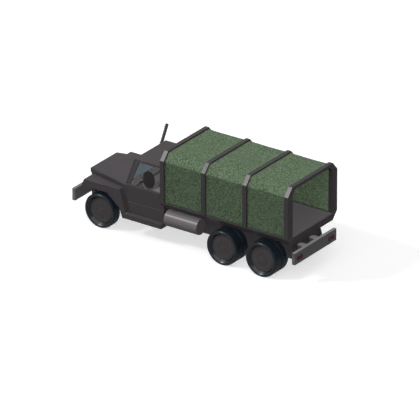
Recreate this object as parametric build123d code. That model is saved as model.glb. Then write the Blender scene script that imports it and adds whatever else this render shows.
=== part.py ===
"""Six-wheel-drive military cargo truck with a bonnet cab, a bowed canvas cover and twin rear tyres.

Millimetres. +X is forward, +Y is the driver's (left) side, +Z is up. The origin is on the ground
under the middle of the truck. Heights are named ..._Z and are measured from the ground.
"""
from build123d import *
import math
import os

# ---- driving dimensions: stations along the truck -------------------------------------------
REAR_OVERHANG = 1097.0        # rear bumper's back face to the last axle
TANDEM = 1356.0               # between the two rear axles
WHEELBASE = 5024.0            # middle of the rear axles to the front axle
FRONT_OVERHANG = 886.0        # front axle to the front bumper's face
LAMP_PROUD = 12.0             # tail lamp lenses stand out of the rear bumper
COWL_SETBACK = 814.0          # front axle back to the foot of the windshield
CAB_LENGTH = 1396.0           # foot of the windshield to the cab's back
CAB_GAP = 18.0                # cab's back to the load bed
BED_SETBACK = 115.0           # rear bumper's back face to the load bed
NOSE_SETBACK = 229.0          # front bumper's face back to the hood's nose

LENGTH = REAR_OVERHANG + TANDEM / 2 + WHEELBASE + FRONT_OVERHANG
TAIL_X = -(LENGTH - LAMP_PROUD) / 2
NOSE_X = TAIL_X + LENGTH
REAR_AXLE_X = TAIL_X + REAR_OVERHANG
MID_AXLE_X = REAR_AXLE_X + TANDEM
BOGIE_X = REAR_AXLE_X + TANDEM / 2
FRONT_AXLE_X = BOGIE_X + WHEELBASE
COWL_X = FRONT_AXLE_X - COWL_SETBACK
CAB_REAR_X = COWL_X - CAB_LENGTH
BED_FRONT_X = CAB_REAR_X - CAB_GAP
BED_REAR_X = TAIL_X + BED_SETBACK
HOOD_NOSE_X = NOSE_X - NOSE_SETBACK

# ---- wheels ----------------------------------------------------------------------------------
TYRE_R = 535.0
TYRE_WIDTH = 310.0
TYRE_SIDES = 48
SHOULDER_DROP = 78.0          # tread down to the widest part of the side
SHOULDER_WIDTH = 52.0
BEAD_GAP = 0.3
WHEEL_R = 380.0               # edge of the wheel disc, where the tyre's bead sits
DISC_RECESS = 90.0            # wheel disc's face and the tyre's bead inside the tyre's bulge
DISC_THICK = 16.0
RIM_WALL = 14.0
FRONT_TYRE_Y = 985.0          # middle of the front tyre
OUTER_TYRE_Y = 1035.0         # middle of the outer rear tyre
DUAL_SPACING = 350.0          # middle to middle of the twin tyres
INNER_TYRE_Y = OUTER_TYRE_Y - DUAL_SPACING
AXLE_Z = TYRE_R
HUB_R = 75.0
DRUM_R = 205.0
DRUM_WALL = 20.0
DRUM_DEPTH = 150.0            # drum behind the rear disc
HUB_PROUD = 10.0              # front hub out of its disc
REAR_HUB_PROUD = 14.0
SPINDLE_REACH = 50.0          # end of the spindle past the middle of the front tyre
STUB_END = 40.0               # end of a rear spindle behind the outer disc
SPINDLE_R = 36.0
RUNNING_FIT = 0.05            # radial clearance of a turning shaft in its bore
MOVE_GAP = 8.0                # clear space between parts that move past each other
CUT_PAST = 1.0                # a cut runs this far past the face it opens

# ---- chassis ---------------------------------------------------------------------------------
RAIL_Y = 430.0                # middle of each rail
RAIL_WIDTH = 80.0
RAIL_DEPTH = 230.0
RAIL_TOP_Z = 1010.0
RAIL_BOTTOM_Z = RAIL_TOP_Z - RAIL_DEPTH
CROSS_DEPTH = 140.0
CROSS_WIDTH = 90.0
CROSS_DROP = 60.0             # low cross members below the rails
SKIRT_Y = 660.0               # outside of the chassis side plates
SKIRT_THICK = 12.0
SKIRT_SEAM = 1.0              # rear plate to the side plates
SKIRT_BOTTOM_Z = 560.0
SKIRT_REAR_GAP = 270.0        # back of the load bed to the chassis' rear plate
ARCH_GAP = 12.0               # side plate's arch outside the tyre

FRONT_BUMPER_THICK = 100.0
FRONT_BUMPER_HALF = 1250.0
FRONT_BUMPER_Z = (702.0, 1080.0)
REAR_BUMPER_THICK = 100.0
REAR_BUMPER_HALF = 1053.0
REAR_BUMPER_Z = (610.0, 976.0)
BUMPER_ARM_Y = 300.0          # middle of each arm between chassis and rear bumper
BUMPER_ARM_WIDTH = 220.0
BUMPER_ARM_DEPTH = 150.0
BUMPER_ARM_TOP_Z = 913.0
BUMPER_ARM_ROUND = 60.0       # rounded corners of an arm's front end
TAIL_LAMP_R = 75.0
TAIL_LAMP_Y = (870.0, 719.0)
TAIL_LAMP_Z = 775.0

TANK_R = 245.0
TANK_LENGTH = 1140.0
TANK_Z = 868.0
TANK_GAP = 16.0               # tank to the chassis side plate
TANK_CAB_GAP = 85.0           # tank's front end to the cab's back
SADDLE_INSET = 200.0          # tank's end to the middle of its saddle
SADDLE_WIDTH = 60.0
SADDLE_HEIGHT = 120.0
FILLER_R = 45.0
FILLER_RISE = 25.0            # filler cap above the tank

# ---- load bed and cover ----------------------------------------------------------------------
BED_HALF = 1252.5             # outside of the bows
KEEL_INSET = 211.5            # outside of the bows in to the bed's flat underside
BOW_DEPTH = 252.5             # outside of the bows in to their inside
BED_BOTTOM_Z = 1211.0
BED_LEDGE_Z = 1453.0          # foot of the bows
FLOOR_Z = 1445.0
FLOOR_THICK = 40.0
BOW_COUNT = 4
BOW_WIDTH = 136.5             # along the truck
BOW_TOP_Z = 3021.0
SHOULDER_FALL = 259.0         # flat top down to the foot of the shoulder's slope
SHOULDER_INSET = 233.5        # outside of the bows in to the edge of the flat top
BOW_BEAM = 110.0              # depth of the top beam
BOW_INNER_CHAMFER = 130.0
CANVAS_INSET = 50.0           # cover's skin inside the bows' faces
CANVAS_GAP = 1.0
HEADBOARD_THICK = 40.0

BED_KEEL_HALF = BED_HALF - KEEL_INSET
BED_INSIDE_HALF = BED_HALF - BOW_DEPTH
HEADBOARD_X = BED_FRONT_X - (BOW_WIDTH + HEADBOARD_THICK) / 2   # its rear face

# ---- cab and hood ----------------------------------------------------------------------------
CAB_HALF = 1020.0
BELT_INSET = 52.0             # cab's side in to the foot of the window pillars
BELT_HALF = CAB_HALF - BELT_INSET
BELT_Z = 1575.0
ROOF_INSET = 189.0            # foot of the pillars in to the roof's edge
ROOF_HALF = BELT_HALF - ROOF_INSET
ROOF_Z = 2340.0
ROOF_SETBACK = 185.0          # foot of the windshield back to the roof's front edge
ROOF_THICK = 40.0
FLOOR_PAN_Z = 1060.0          # top of the cab floor
FLOOR_PAN_THICK = 40.0
PANEL = 40.0                  # cab walls and pillars
COWL_THICK = 20.0
CAB_BACK_THICK = 40.0
STEP_TOP_Z = 700.0
STEP_BOTTOM_Z = 555.0
STEP_REACH = 145.0            # cab's side out to the step's edge
STEP_WIDTH = 325.0
STEP_HALF = CAB_HALF + STEP_REACH
STEP_INNER_Y = STEP_HALF - STEP_WIDTH
VALANCE_THICK = 20.0
STEP_FOOT_SETBACK = 20.0      # foot of the windshield back to the step's lower front edge
STEP_NOSE_SETBACK = 124.0     # and to its upper front edge

DOOR_THICK = 60.0
DOOR_GAP = 8.0
DOOR_FRONT_SETBACK = 75.0     # foot of the windshield back to the door's front edge
DOOR_REAR_SETBACK = 80.0      # cab's back to the door's rear edge
WINDOW_STILE = 52.0
WINDOW_FRONT_STILE = 102.0    # the same at the window's front, at the belt
WINDOW_HEAD_STILE = 160.0     # and at the window's top
WINDOW_TOP_Z = 2265.0
DOOR_TOP_Z = 2292.0
DOOR_RAIL = 40.0              # ledge under the window
PANE_SIDE = 60.0              # windshield's pane to the outside of the pillar
PANE_SILL = 10.0
PANE_HEAD = 25.0
PANE_THICK = 8.0
REAR_WINDOW_HALF = 350.0
REAR_WINDOW_Z = (1750.0, 2150.0)

HOOD_FRONT_HALF = 652.0
HOOD_CAB_INSET = 14.0         # cab's side in to the hood's rear corner
HOOD_REAR_HALF = CAB_HALF - HOOD_CAB_INSET
HOOD_Z = 1567.0
HOOD_THICK = 14.0
HOOD_LIP_Z = 1438.0           # bottom edge of the hood's sides
HOOD_COWL_GAP = 65.0          # foot of the windshield to the hood's rear edge
HOOD_NOSE_LIP_Z = 1505.0
FENDER_REACH = 150.0          # cab's side out to the fender's
FENDER_HALF = CAB_HALF + FENDER_REACH
FENDER_Z = 1430.0
FENDER_CAB_GAP = 2.0
FENDER_NOSE_GAP = 28.0        # hood's nose back to the fender's upright front face
FENDER_FACE_Z = (1020.0, 1183.0)
FENDER_SLOPE = 131.0          # hood's nose back to the head of the fender's sloped nose
FENDER_CHIN = 73.0            # upright face back to the arch's front foot
FENDER_CHIN_Z = 1010.0
FENDER_TAIL = 80.0            # foot of the windshield forward to the fender's tail
FENDER_TAIL_Z = 845.0
FENDER_SIDE_END = 130.0       # foot of the windshield back to the end of the fender's outside
ARCH_TOP_Z = 1222.0
ARCH_AHEAD = 256.0            # front axle to the front of the arch's flat top
ARCH_BEHIND = 284.0
INNER_WALL_Y = 500.0          # upright inner wall of the arch, its side towards the rail
INNER_WALL_THICK = 30.0
INNER_WALL_BOTTOM_Z = 620.0

SHELL_DEPTH = 120.0           # radiator shell, front to back
SHELL_BOTTOM_Z = 660.0
SHELL_RIM = 70.0
SHELL_RAIL_GAP = 4.0
GRILLE_BARS = 11
GRILLE_BAR_WIDTH = 26.0
GRILLE_RECESS = 25.0
GRILLE_FRONT_GAP = 5.0
HEADLAMP_R = 78.0
HEADLAMP_INSET = 240.0        # fender's side in to the lamp's middle
HEADLAMP_Y = FENDER_HALF - HEADLAMP_INSET
HEADLAMP_Z = 1101.0
HEADLAMP_DEPTH = 80.0

STACK_R = 48.0
STACK_WALL = 6.0
STACK_OFFSET = 38.0           # cab's side out to the stack's middle
STACK_Y = -CAB_HALF - STACK_OFFSET
STACK_LEAN = 17.0             # degrees, top towards the back
STACK_TOP_Z = 2700.0
STACK_FOOT_AHEAD = 352.0      # foot of the windshield forward to the stack on the fender's top

SEAT_Y = 430.0
SEAT_WIDTH = 480.0
SEAT_FRONT_SETBACK = 650.0    # foot of the windshield back to the seat's front edge
SEAT_DEPTH = 450.0
CUSHION_Z = (1270.0, 1400.0)
BACKREST_THICK = 110.0
BACKREST_TOP_Z = 1980.0
BACKREST_LEAN = 8.0
SEAT_CLEAR = 2.0
SEAT_BOX_INSET = 30.0         # seat box inside the cushion's sides
SEAT_BOX_SETBACK = 40.0       # cushion's front edge to the box
DASH_DEPTH = 190.0
DASH_BOTTOM_Z = 1400.0
DASH_FACE = 60.0              # height of the upright instrument face
DASH_TUCK = 60.0              # dashboard's foot ahead of its face
STEERING_R = 255.0
STEERING_RIM_R = 15.0
STEERING_WEB = 8.0
STEERING_HUB_R = 45.0
STEERING_Y = 440.0
STEERING_SETBACK = 450.0      # foot of the windshield back to the wheel's middle
STEERING_Z = 1605.0
COLUMN_TILT = 25.0            # degrees, the column's slope
COLUMN_R = 28.0

ENGINE_SETBACK = 120.0        # foot of the windshield forward to the engine
ENGINE_HALF = 260.0
ENGINE_BOTTOM_Z = 790.0
ENGINE_TOP_Z = 1480.0
ENGINE_NOSE_GAP = 350.0       # hood's nose back to the engine
GEARBOX_SETBACK = 520.0       # foot of the windshield back to the gearbox's rear
GEARBOX_HALF = 170.0
GEARBOX_TOP_Z = 1005.0
GEARBOX_SHAFT_RISE = 80.0     # gearbox's underside up to its shaft
TRANSFER_SETBACK = 320.0      # tank's front end back to the transfer box
TRANSFER_LENGTH = 340.0
TRANSFER_HALF = 200.0
SHAFT_R = 38.0
SHAFT_Z = 670.0               # shafts' height at the transfer box
TRANSFER_BOTTOM_Z = 600.0

# ---- running gear ----------------------------------------------------------------------------
KINGPIN_Y = 800.0
KINGPIN_R = 18.0
KNUCKLE_R = 46.0
KNUCKLE_FLANGE_R = 60.0
KNUCKLE_REACH = 75.0          # kingpin out to the end of the knuckle's flange
YOKE_REACH = 50.0
YOKE_DEPTH = 150.0            # kingpin in to the yoke's root
YOKE_THROAT = 80.0            # kingpin in to the bottom of the yoke's opening
YOKE_WIDTH = 90.0
KNUCKLE_HALF = 66.0           # half height of the knuckle between the yoke's lugs
YOKE_LUG = 30.0
AXLE_TUBE_R = 56.0
DIFF_R = 165.0
FRONT_DIFF_HALF = 110.0
REAR_DIFF_HALF = 130.0
STEER_ARM = 240.0             # kingpin back to the tie rod
TIE_ROD_R = 17.0
TIE_PIN_R = 11.0
TIE_ROD_DROP = 95.0           # axle down to the tie rod
TIE_ROD_Z = AXLE_Z - TIE_ROD_DROP
TIE_EYE_R = 28.0
TIE_EYE_HALF = 21.0
TIE_OPEN_PLAY = 1.5           # right end's pin in its eye
STEER_ARM_THICK = 26.0
STEER_ARM_HALF = 22.0
SPRING_WIDTH = 70.0
SPRING_HALF = 460.0           # middle of a front spring to its end
SPRING_THICK = 62.0
SPRING_RISE = 68.0            # axle pad up to the spring's ends
SPRING_EYE = 40.0
SPRING_CLAMP = 150.0          # half length of the flat under the axle's clamps
SPRING_CROWN = 12.0
BOGIE_PAD = 60.0              # half length of a bogie spring's end on its axle
BOGIE_LEAF = 22.0             # its thickness there
BOGIE_SADDLE = 120.0          # half length of its middle under the stool
BOGIE_DEPTH = 70.0


def box(x, y, z):
    """A block between the low and high value of each axis."""
    size = (x[1] - x[0], y[1] - y[0], z[1] - z[0])
    middle = ((x[0] + x[1]) / 2, (y[0] + y[1]) / 2, (z[0] + z[1]) / 2)
    return Pos(*middle) * Box(*size)


def prism(points, along, low, high):
    """A bar whose closed outline lies across one axis, from low to high on that axis."""
    corner = {"x": lambda a, b: (low, a, b), "y": lambda a, b: (a, low, b), "z": lambda a, b: (a, b, low)}
    way = {"x": (1, 0, 0), "y": (0, 1, 0), "z": (0, 0, 1)}[along]
    outline = Polyline(*[corner[along](a, b) for a, b in points], close=True)
    return extrude(make_face(outline), amount=high - low, dir=way)


def rod(start, end, radius):
    """A round bar between two points."""
    line = Vector(*end) - Vector(*start)
    plane = Plane(origin=start, z_dir=line)
    return plane * Cylinder(radius, line.length, align=(Align.CENTER, Align.CENTER, Align.MIN))


def across(x, y, z, radius):
    """A round bar along the truck's width, between the two values of y."""
    return rod((x, y[0], z), (x, y[1], z), radius)


def ring(start, end, radius, bore):
    """A round tube between two points."""
    return rod(start, end, radius) - rod(start, end, bore)


def right(shape):
    """The same piece on the truck's right side."""
    return mirror(shape, about=Plane.XZ)


def both(shape):
    """A left piece and its mirror image on the right."""
    return shape + right(shape)


def save(name, shape):
    export_step(shape if isinstance(shape, Compound) else Compound(children=[shape]), f"parts/{name}.step")


def spaced(first, last, count):
    """Evenly spaced values from the first to the last."""
    return [first + (last - first) * i / (count - 1) for i in range(count)]


# ---- chassis ---------------------------------------------------------------------------------
RAIL_INSIDE_Y = RAIL_Y - RAIL_WIDTH / 2
RAIL_OUTSIDE_Y = RAIL_Y + RAIL_WIDTH / 2
RAIL_REAR_X = BED_REAR_X + SKIRT_REAR_GAP + SKIRT_THICK
RAIL_FRONT_X = NOSE_X - FRONT_BUMPER_THICK
SPRING_PAD_Z = AXLE_Z + AXLE_TUBE_R
TANK_FRONT_X = CAB_REAR_X - TANK_CAB_GAP
TANK_REAR_X = TANK_FRONT_X - TANK_LENGTH
TANK_Y = SKIRT_Y + TANK_GAP + TANK_R
TRANSFER_X = TANK_FRONT_X - TRANSFER_SETBACK


def chassis_rails():
    """Two box rails from the rear plate to the front bumper."""
    section = (RAIL_INSIDE_Y, RAIL_OUTSIDE_Y), (RAIL_BOTTOM_Z, RAIL_TOP_Z)
    return both(box((RAIL_REAR_X, RAIL_FRONT_X), *section))


def chassis_cross_members():
    """Cross members between the rails, outriggers to the side plates and steps, hangers and stools."""
    half = CROSS_WIDTH / 2
    middle_z = (RAIL_BOTTOM_Z + RAIL_TOP_Z) / 2
    cross_z = (middle_z - CROSS_DEPTH / 2, middle_z + CROSS_DEPTH / 2)
    low_z = (RAIL_BOTTOM_Z - CROSS_DROP, ENGINE_BOTTOM_Z)
    between = (-RAIL_INSIDE_Y, RAIL_INSIDE_Y)
    skirt_gap = (RAIL_OUTSIDE_Y, SKIRT_Y - SKIRT_THICK)
    under_step = (RAIL_OUTSIDE_Y, STEP_INNER_Y)
    under_rail = (RAIL_INSIDE_Y, RAIL_OUTSIDE_Y)
    hanger_z = (SPRING_PAD_Z + SPRING_RISE + SPRING_THICK, RAIL_BOTTOM_Z)
    rows = [                              # middle along the truck, reach across, heights, both sides
        (RAIL_REAR_X + half, between, cross_z, False),
        (BOGIE_X, between, cross_z, False),
        (TANK_REAR_X - CROSS_WIDTH, between, cross_z, False),
        (TRANSFER_X, between, low_z, False),
        (COWL_X - CROSS_WIDTH, between, low_z, False),
        (COWL_X + 2 * CROSS_WIDTH, between, low_z, False),
        (FRONT_AXLE_X + DIFF_R + CROSS_WIDTH, between, low_z, False),
        (RAIL_FRONT_X - half, between, cross_z, False),
        (RAIL_REAR_X + half, skirt_gap, cross_z, True),
        (BOGIE_X, skirt_gap, cross_z, True),
        (TANK_REAR_X + CROSS_WIDTH, skirt_gap, cross_z, True),
        (TANK_FRONT_X - CROSS_WIDTH, skirt_gap, cross_z, True),
        (CAB_REAR_X + CROSS_WIDTH, under_step, (STEP_BOTTOM_Z, cross_z[1]), True),
        (COWL_X - 3 * CROSS_WIDTH, under_step, (STEP_BOTTOM_Z, cross_z[1]), True),
        (FRONT_AXLE_X - SPRING_HALF, under_rail, hanger_z, True),
        (FRONT_AXLE_X + SPRING_HALF, under_rail, hanger_z, True),
        (BOGIE_X, under_rail, (AXLE_Z + 2 * AXLE_TUBE_R, RAIL_BOTTOM_Z), True),
    ]
    members = Part()
    for x, y, z, paired in rows:
        member = box((x - half, x + half), y, z)
        members += both(member) if paired else member
    return members


def chassis_skirts():
    """Deep side plates with an arch over each rear wheel, and the plate that closes the rear."""
    rear_x = BED_REAR_X + SKIRT_REAR_GAP
    inside = SKIRT_Y - SKIRT_THICK
    plate = box((rear_x, CAB_REAR_X - CAB_GAP), (inside, SKIRT_Y), (SKIRT_BOTTOM_Z, BED_BOTTOM_Z))
    for x in (REAR_AXLE_X, MID_AXLE_X):
        plate -= across(x, (inside - SKIRT_THICK, SKIRT_Y + SKIRT_THICK), AXLE_Z, TYRE_R + ARCH_GAP)
    end = box((rear_x, rear_x + SKIRT_THICK), (SKIRT_SEAM - inside, inside - SKIRT_SEAM),
              (SKIRT_BOTTOM_Z, BED_BOTTOM_Z))
    return both(plate) + end


def front_bumper():
    """Straight full-width bar."""
    return box((RAIL_FRONT_X, NOSE_X), (-FRONT_BUMPER_HALF, FRONT_BUMPER_HALF), FRONT_BUMPER_Z)


def rear_bumper():
    """Deep cross bar on two arms whose front ends have rounded corners."""
    bar_front = TAIL_X + REAR_BUMPER_THICK
    bar = box((TAIL_X, bar_front), (-REAR_BUMPER_HALF, REAR_BUMPER_HALF), REAR_BUMPER_Z)
    half = BUMPER_ARM_WIDTH / 2
    side = (BUMPER_ARM_Y - half, BUMPER_ARM_Y + half)
    height = (BUMPER_ARM_TOP_Z - BUMPER_ARM_DEPTH, BUMPER_ARM_TOP_Z)
    arm = box((bar_front - REAR_BUMPER_THICK / 2, BED_REAR_X + SKIRT_REAR_GAP), side, height)
    arm = fillet(arm.edges().filter_by(Axis.Z).group_by(Axis.X)[-1], BUMPER_ARM_ROUND)
    return bar + both(arm)


def tail_lamps():
    """Two round lenses on each end of the rear bumper."""
    lamps = [rod((TAIL_X - LAMP_PROUD, y, TAIL_LAMP_Z), (TAIL_X, y, TAIL_LAMP_Z), TAIL_LAMP_R)
             for y in TAIL_LAMP_Y]
    return both(lamps[0]) + both(lamps[1])


def fuel_tanks():
    """A drum on each side behind the cab, each on two saddles fixed to the side plate, with a filler."""
    tank = rod((TANK_REAR_X, TANK_Y, TANK_Z), (TANK_FRONT_X, TANK_Y, TANK_Z), TANK_R)
    half, tall = SADDLE_WIDTH / 2, SADDLE_HEIGHT / 2
    for x in (TANK_REAR_X + SADDLE_INSET, TANK_FRONT_X - SADDLE_INSET):
        tank += box((x - half, x + half), (SKIRT_Y, TANK_Y - TANK_R / 2), (TANK_Z - tall, TANK_Z + tall))
    filler = (TANK_FRONT_X - SADDLE_INSET, TANK_Y)
    tank += rod((*filler, TANK_Z), (*filler, TANK_Z + TANK_R + FILLER_RISE), FILLER_R)
    return both(tank)


# ---- load bed --------------------------------------------------------------------------------
def bed_rails():
    """Side rails with a chamfered underside, and two long sills on the chassis rails."""
    section = [(BED_INSIDE_HALF, BED_BOTTOM_Z), (BED_KEEL_HALF, BED_BOTTOM_Z), (BED_HALF, BED_LEDGE_Z),
               (BED_INSIDE_HALF, BED_LEDGE_Z)]
    side = prism(section, "x", BED_REAR_X, BED_FRONT_X)
    sill = box((RAIL_REAR_X, BED_FRONT_X), (RAIL_INSIDE_Y, RAIL_OUTSIDE_Y), (RAIL_TOP_Z, BED_BOTTOM_Z))
    return both(side) + both(sill)


def bed_bearers():
    """Cross beams under the deck: one below each bow and one between each pair."""
    half = BOW_WIDTH / 2
    height = (BED_BOTTOM_Z, FLOOR_Z - FLOOR_THICK)
    bearers = Part()
    for x in spaced(BED_REAR_X + half, BED_FRONT_X - half, 2 * BOW_COUNT - 1):
        bearers += box((x - half, x + half), (-BED_INSIDE_HALF, BED_INSIDE_HALF), height)
    return bearers


def bed_floor():
    """Deck between the side rails, up to the headboard."""
    height = (FLOOR_Z - FLOOR_THICK, FLOOR_Z)
    return box((BED_REAR_X, HEADBOARD_X), (-BED_INSIDE_HALF, BED_INSIDE_HALF), height)


BOW_SLOPE = SHOULDER_FALL / SHOULDER_INSET
BOW_STARTS = spaced(BED_REAR_X, BED_FRONT_X - BOW_WIDTH, BOW_COUNT)


def outside_edge(inset, low):
    """Left half of a hoop's outside, from its foot up, set in from the bows' faces."""
    turn = inset * (math.hypot(1, BOW_SLOPE) - 1) / BOW_SLOPE
    fall = inset * (math.hypot(1, BOW_SLOPE) - BOW_SLOPE)
    side = BED_HALF - inset
    return [(side, low), (side, BOW_TOP_Z - SHOULDER_FALL - fall),
            (BED_HALF - SHOULDER_INSET - turn, BOW_TOP_Z - inset)]


def inside_edge(low):
    """Left half of a hoop's inside, from its foot up."""
    ceiling = BOW_TOP_Z - BOW_BEAM
    return [(BED_INSIDE_HALF, low), (BED_INSIDE_HALF, ceiling - BOW_INNER_CHAMFER * BOW_SLOPE),
            (BED_INSIDE_HALF - BOW_INNER_CHAMFER, ceiling)]


def over(left):
    """A left edge carried over the top and down the right side."""
    return left + [(-y, z) for y, z in left[::-1]]


def hoop(inset, low):
    """Closed outline of a hoop, with straight sides, sloped shoulders and a flat top."""
    return over(outside_edge(inset, low)) + over(inside_edge(low))[::-1]


def cargo_bows():
    """Four hoops that stand on the bed's ledge."""
    bows = Part()
    for x in BOW_STARTS:
        bows += prism(hoop(0, BED_LEDGE_Z), "x", x, x + BOW_WIDTH)
    return bows


def headboard():
    """Front wall of the load space, inside the first bow and on the bearer under it."""
    return prism(over(inside_edge(FLOOR_Z - FLOOR_THICK)), "x", HEADBOARD_X, HEADBOARD_X + HEADBOARD_THICK)


def canvas_cover():
    """Padded canvas between each pair of bows, level with them inside and set back outside."""
    outline = hoop(CANVAS_INSET, BED_LEDGE_Z + CANVAS_GAP)
    cover = Part()
    for rear, front in zip(BOW_STARTS, BOW_STARTS[1:]):
        cover += prism(outline, "x", rear + BOW_WIDTH + CANVAS_GAP, front - CANVAS_GAP)
    return cover


# ---- cab -------------------------------------------------------------------------------------
HOOD_REAR_X = COWL_X + HOOD_COWL_GAP
DOOR_FRONT_X = COWL_X - DOOR_FRONT_SETBACK
DOOR_REAR_X = CAB_REAR_X + DOOR_REAR_SETBACK
LEAN = (BELT_HALF - ROOF_HALF) / (ROOF_Z - BELT_Z)     # cab sides lean in above the belt
RAKE = ROOF_SETBACK / (ROOF_Z - BELT_Z)                # windshield leans back
ROOF_FRONT_X = COWL_X - ROOF_SETBACK
ROOF_BOTTOM_Z = ROOF_Z - ROOF_THICK


def side_y(z):
    """Outside of the window pillars at a height."""
    return BELT_HALF - (z - BELT_Z) * LEAN


def front_x(z):
    """Front of the windshield frame at a height."""
    return COWL_X - (z - BELT_Z) * RAKE


def cab_floor():
    """Floor pan, its side sills down to the steps, the steps, and the two seat boxes."""
    under_pan = FLOOR_PAN_Z - FLOOR_PAN_THICK
    pan = box((CAB_REAR_X, COWL_X), (-CAB_HALF, CAB_HALF), (under_pan, FLOOR_PAN_Z))
    side = [(CAB_REAR_X, STEP_BOTTOM_Z), (COWL_X - STEP_FOOT_SETBACK, STEP_BOTTOM_Z),
            (COWL_X - STEP_NOSE_SETBACK, STEP_TOP_Z), (CAB_REAR_X, STEP_TOP_Z)]
    step = prism(side, "y", STEP_INNER_Y, STEP_HALF)
    sill = box((CAB_REAR_X, COWL_X), (CAB_HALF - VALANCE_THICK, CAB_HALF), (STEP_TOP_Z, under_pan))
    end = box((CAB_REAR_X, CAB_REAR_X + VALANCE_THICK), (STEP_INNER_Y, CAB_HALF - VALANCE_THICK),
              (STEP_TOP_Z, under_pan))
    seat_front = COWL_X - SEAT_FRONT_SETBACK
    half = SEAT_WIDTH / 2 - SEAT_BOX_INSET
    seat = box((seat_front - SEAT_DEPTH, seat_front - SEAT_BOX_SETBACK), (SEAT_Y - half, SEAT_Y + half),
               (FLOOR_PAN_Z, CUSHION_Z[0]))
    return pan + both(step + sill + end) + both(seat)


def cowl():
    """Firewall, cowl top and the body sides in front of the doors."""
    front = HOOD_REAR_X - MOVE_GAP
    under = BELT_Z - COWL_THICK
    wall = box((COWL_X - PANEL, COWL_X), (-CAB_HALF, CAB_HALF), (FLOOR_PAN_Z, under))
    top = box((COWL_X - PANEL, front), (-CAB_HALF, CAB_HALF), (under, BELT_Z))
    side = box((DOOR_FRONT_X + DOOR_GAP, front), (CAB_HALF - PANEL, CAB_HALF), (FLOOR_PAN_Z, under))
    return wall + top + both(side)


def cab_back():
    """Rear wall with its window, and the corner posts behind the doors."""
    roof_y = side_y(ROOF_BOTTOM_Z)
    corner = [(CAB_HALF, FLOOR_PAN_Z), (CAB_HALF, BELT_Z), (BELT_HALF, BELT_Z), (roof_y, ROOF_BOTTOM_Z)]
    wall = prism(over(corner), "x", CAB_REAR_X, CAB_REAR_X + CAB_BACK_THICK)
    wall -= rear_pane(CAB_BACK_THICK)
    inside = [(roof_y - PANEL, ROOF_BOTTOM_Z), (BELT_HALF - PANEL, BELT_Z), (CAB_HALF - PANEL, FLOOR_PAN_Z)]
    post = corner + inside
    return wall + both(prism(post, "x", CAB_REAR_X + CAB_BACK_THICK, DOOR_REAR_X - DOOR_GAP))


def rear_pane(thick):
    """The rear window's space, of a given depth, about the middle of the cab's rear wall."""
    middle = CAB_REAR_X + CAB_BACK_THICK / 2
    depth = (middle - thick / 2, middle + thick / 2)
    return box(depth, (-REAR_WINDOW_HALF, REAR_WINDOW_HALF), REAR_WINDOW_Z)


def leaning_layer(near, far):
    """A layer of the windshield's slope, between two depths behind the frame's front face."""
    low, high = front_x(BELT_Z), front_x(ROOF_Z)
    return prism([(low - near, BELT_Z), (high - near, ROOF_Z), (high - far, ROOF_Z), (low - far, BELT_Z)],
                 "y", -CAB_HALF, CAB_HALF)


def windshield_pane(near, far):
    """The windshield's space, between two depths behind the frame's front face."""
    low, high = BELT_Z + PANE_SILL, ROOF_BOTTOM_Z - PANE_HEAD
    outline = over([(side_y(low) - PANE_SIDE, low), (side_y(high) - PANE_SIDE, high)])
    return prism(outline, "x", ROOF_FRONT_X - 2 * PANEL, COWL_X + PANEL) & leaning_layer(near, far)


def cab_roof():
    """Flat roof with leaning edges, and the windshield frame it stands on."""
    eave, edge = side_y(ROOF_BOTTOM_Z), side_y(ROOF_Z)
    roof = prism(over([(eave, ROOF_BOTTOM_Z), (edge, ROOF_Z)]), "x", CAB_REAR_X, ROOF_FRONT_X)
    frame = prism(over([(BELT_HALF, BELT_Z), (edge, ROOF_Z)]), "x", ROOF_FRONT_X - 2 * PANEL, COWL_X + PANEL)
    frame = frame & leaning_layer(0, PANEL)
    return roof + (frame - windshield_pane(-PANEL, 2 * PANEL))


def windows():
    """The windshield's pane and the rear window."""
    near = (PANEL - PANE_THICK) / 2
    return windshield_pane(near, near + PANE_THICK) + rear_pane(PANE_THICK)


def door():
    """Left door: a deep lower panel and a leaning frame round the open window."""
    x = (DOOR_REAR_X, DOOR_FRONT_X)
    panel = box(x, (CAB_HALF - DOOR_THICK, CAB_HALF), (FLOOR_PAN_Z + DOOR_GAP, BELT_Z))
    rail = box(x, (BELT_HALF - PANEL, CAB_HALF), (BELT_Z - DOOR_RAIL, BELT_Z))
    head_y = side_y(DOOR_TOP_Z)
    frame = prism([(BELT_HALF, BELT_Z), (head_y, DOOR_TOP_Z), (head_y - PANEL, DOOR_TOP_Z),
                   (BELT_HALF - PANEL, BELT_Z)], "x", DOOR_REAR_X, DOOR_FRONT_X)
    behind = PANEL + DOOR_GAP
    slope = prism([(DOOR_REAR_X, BELT_Z), (front_x(BELT_Z) - behind, BELT_Z),
                   (front_x(DOOR_TOP_Z) - behind, DOOR_TOP_Z), (DOOR_REAR_X, DOOR_TOP_Z)], "y", 0, CAB_HALF)
    rear = DOOR_REAR_X + WINDOW_STILE
    foot = front_x(BELT_Z) - behind - WINDOW_FRONT_STILE
    head = front_x(WINDOW_TOP_Z) - behind - WINDOW_HEAD_STILE
    outline = [(rear, BELT_Z), (foot, BELT_Z), (head, WINDOW_TOP_Z), (rear, WINDOW_TOP_Z)]
    window = prism(outline, "y", 0, CAB_HALF)
    return panel + rail + ((frame & slope) - window)


def dashboard():
    """Instrument shelf behind the firewall, with the steering column."""
    front = COWL_X - PANEL
    rear = front - DASH_DEPTH
    top = BELT_Z - COWL_THICK
    half = BELT_HALF - PANEL - 2 * MOVE_GAP
    shelf = prism([(front, DASH_BOTTOM_Z), (front, top), (rear, top), (rear, top - DASH_FACE),
                   (rear + DASH_TUCK, DASH_BOTTOM_Z)], "y", -half, half)
    head = steering_point(-STEERING_RIM_R - MOVE_GAP)
    return shelf + rod(head, steering_point(-STEERING_SETBACK + PANEL), COLUMN_R)


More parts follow.
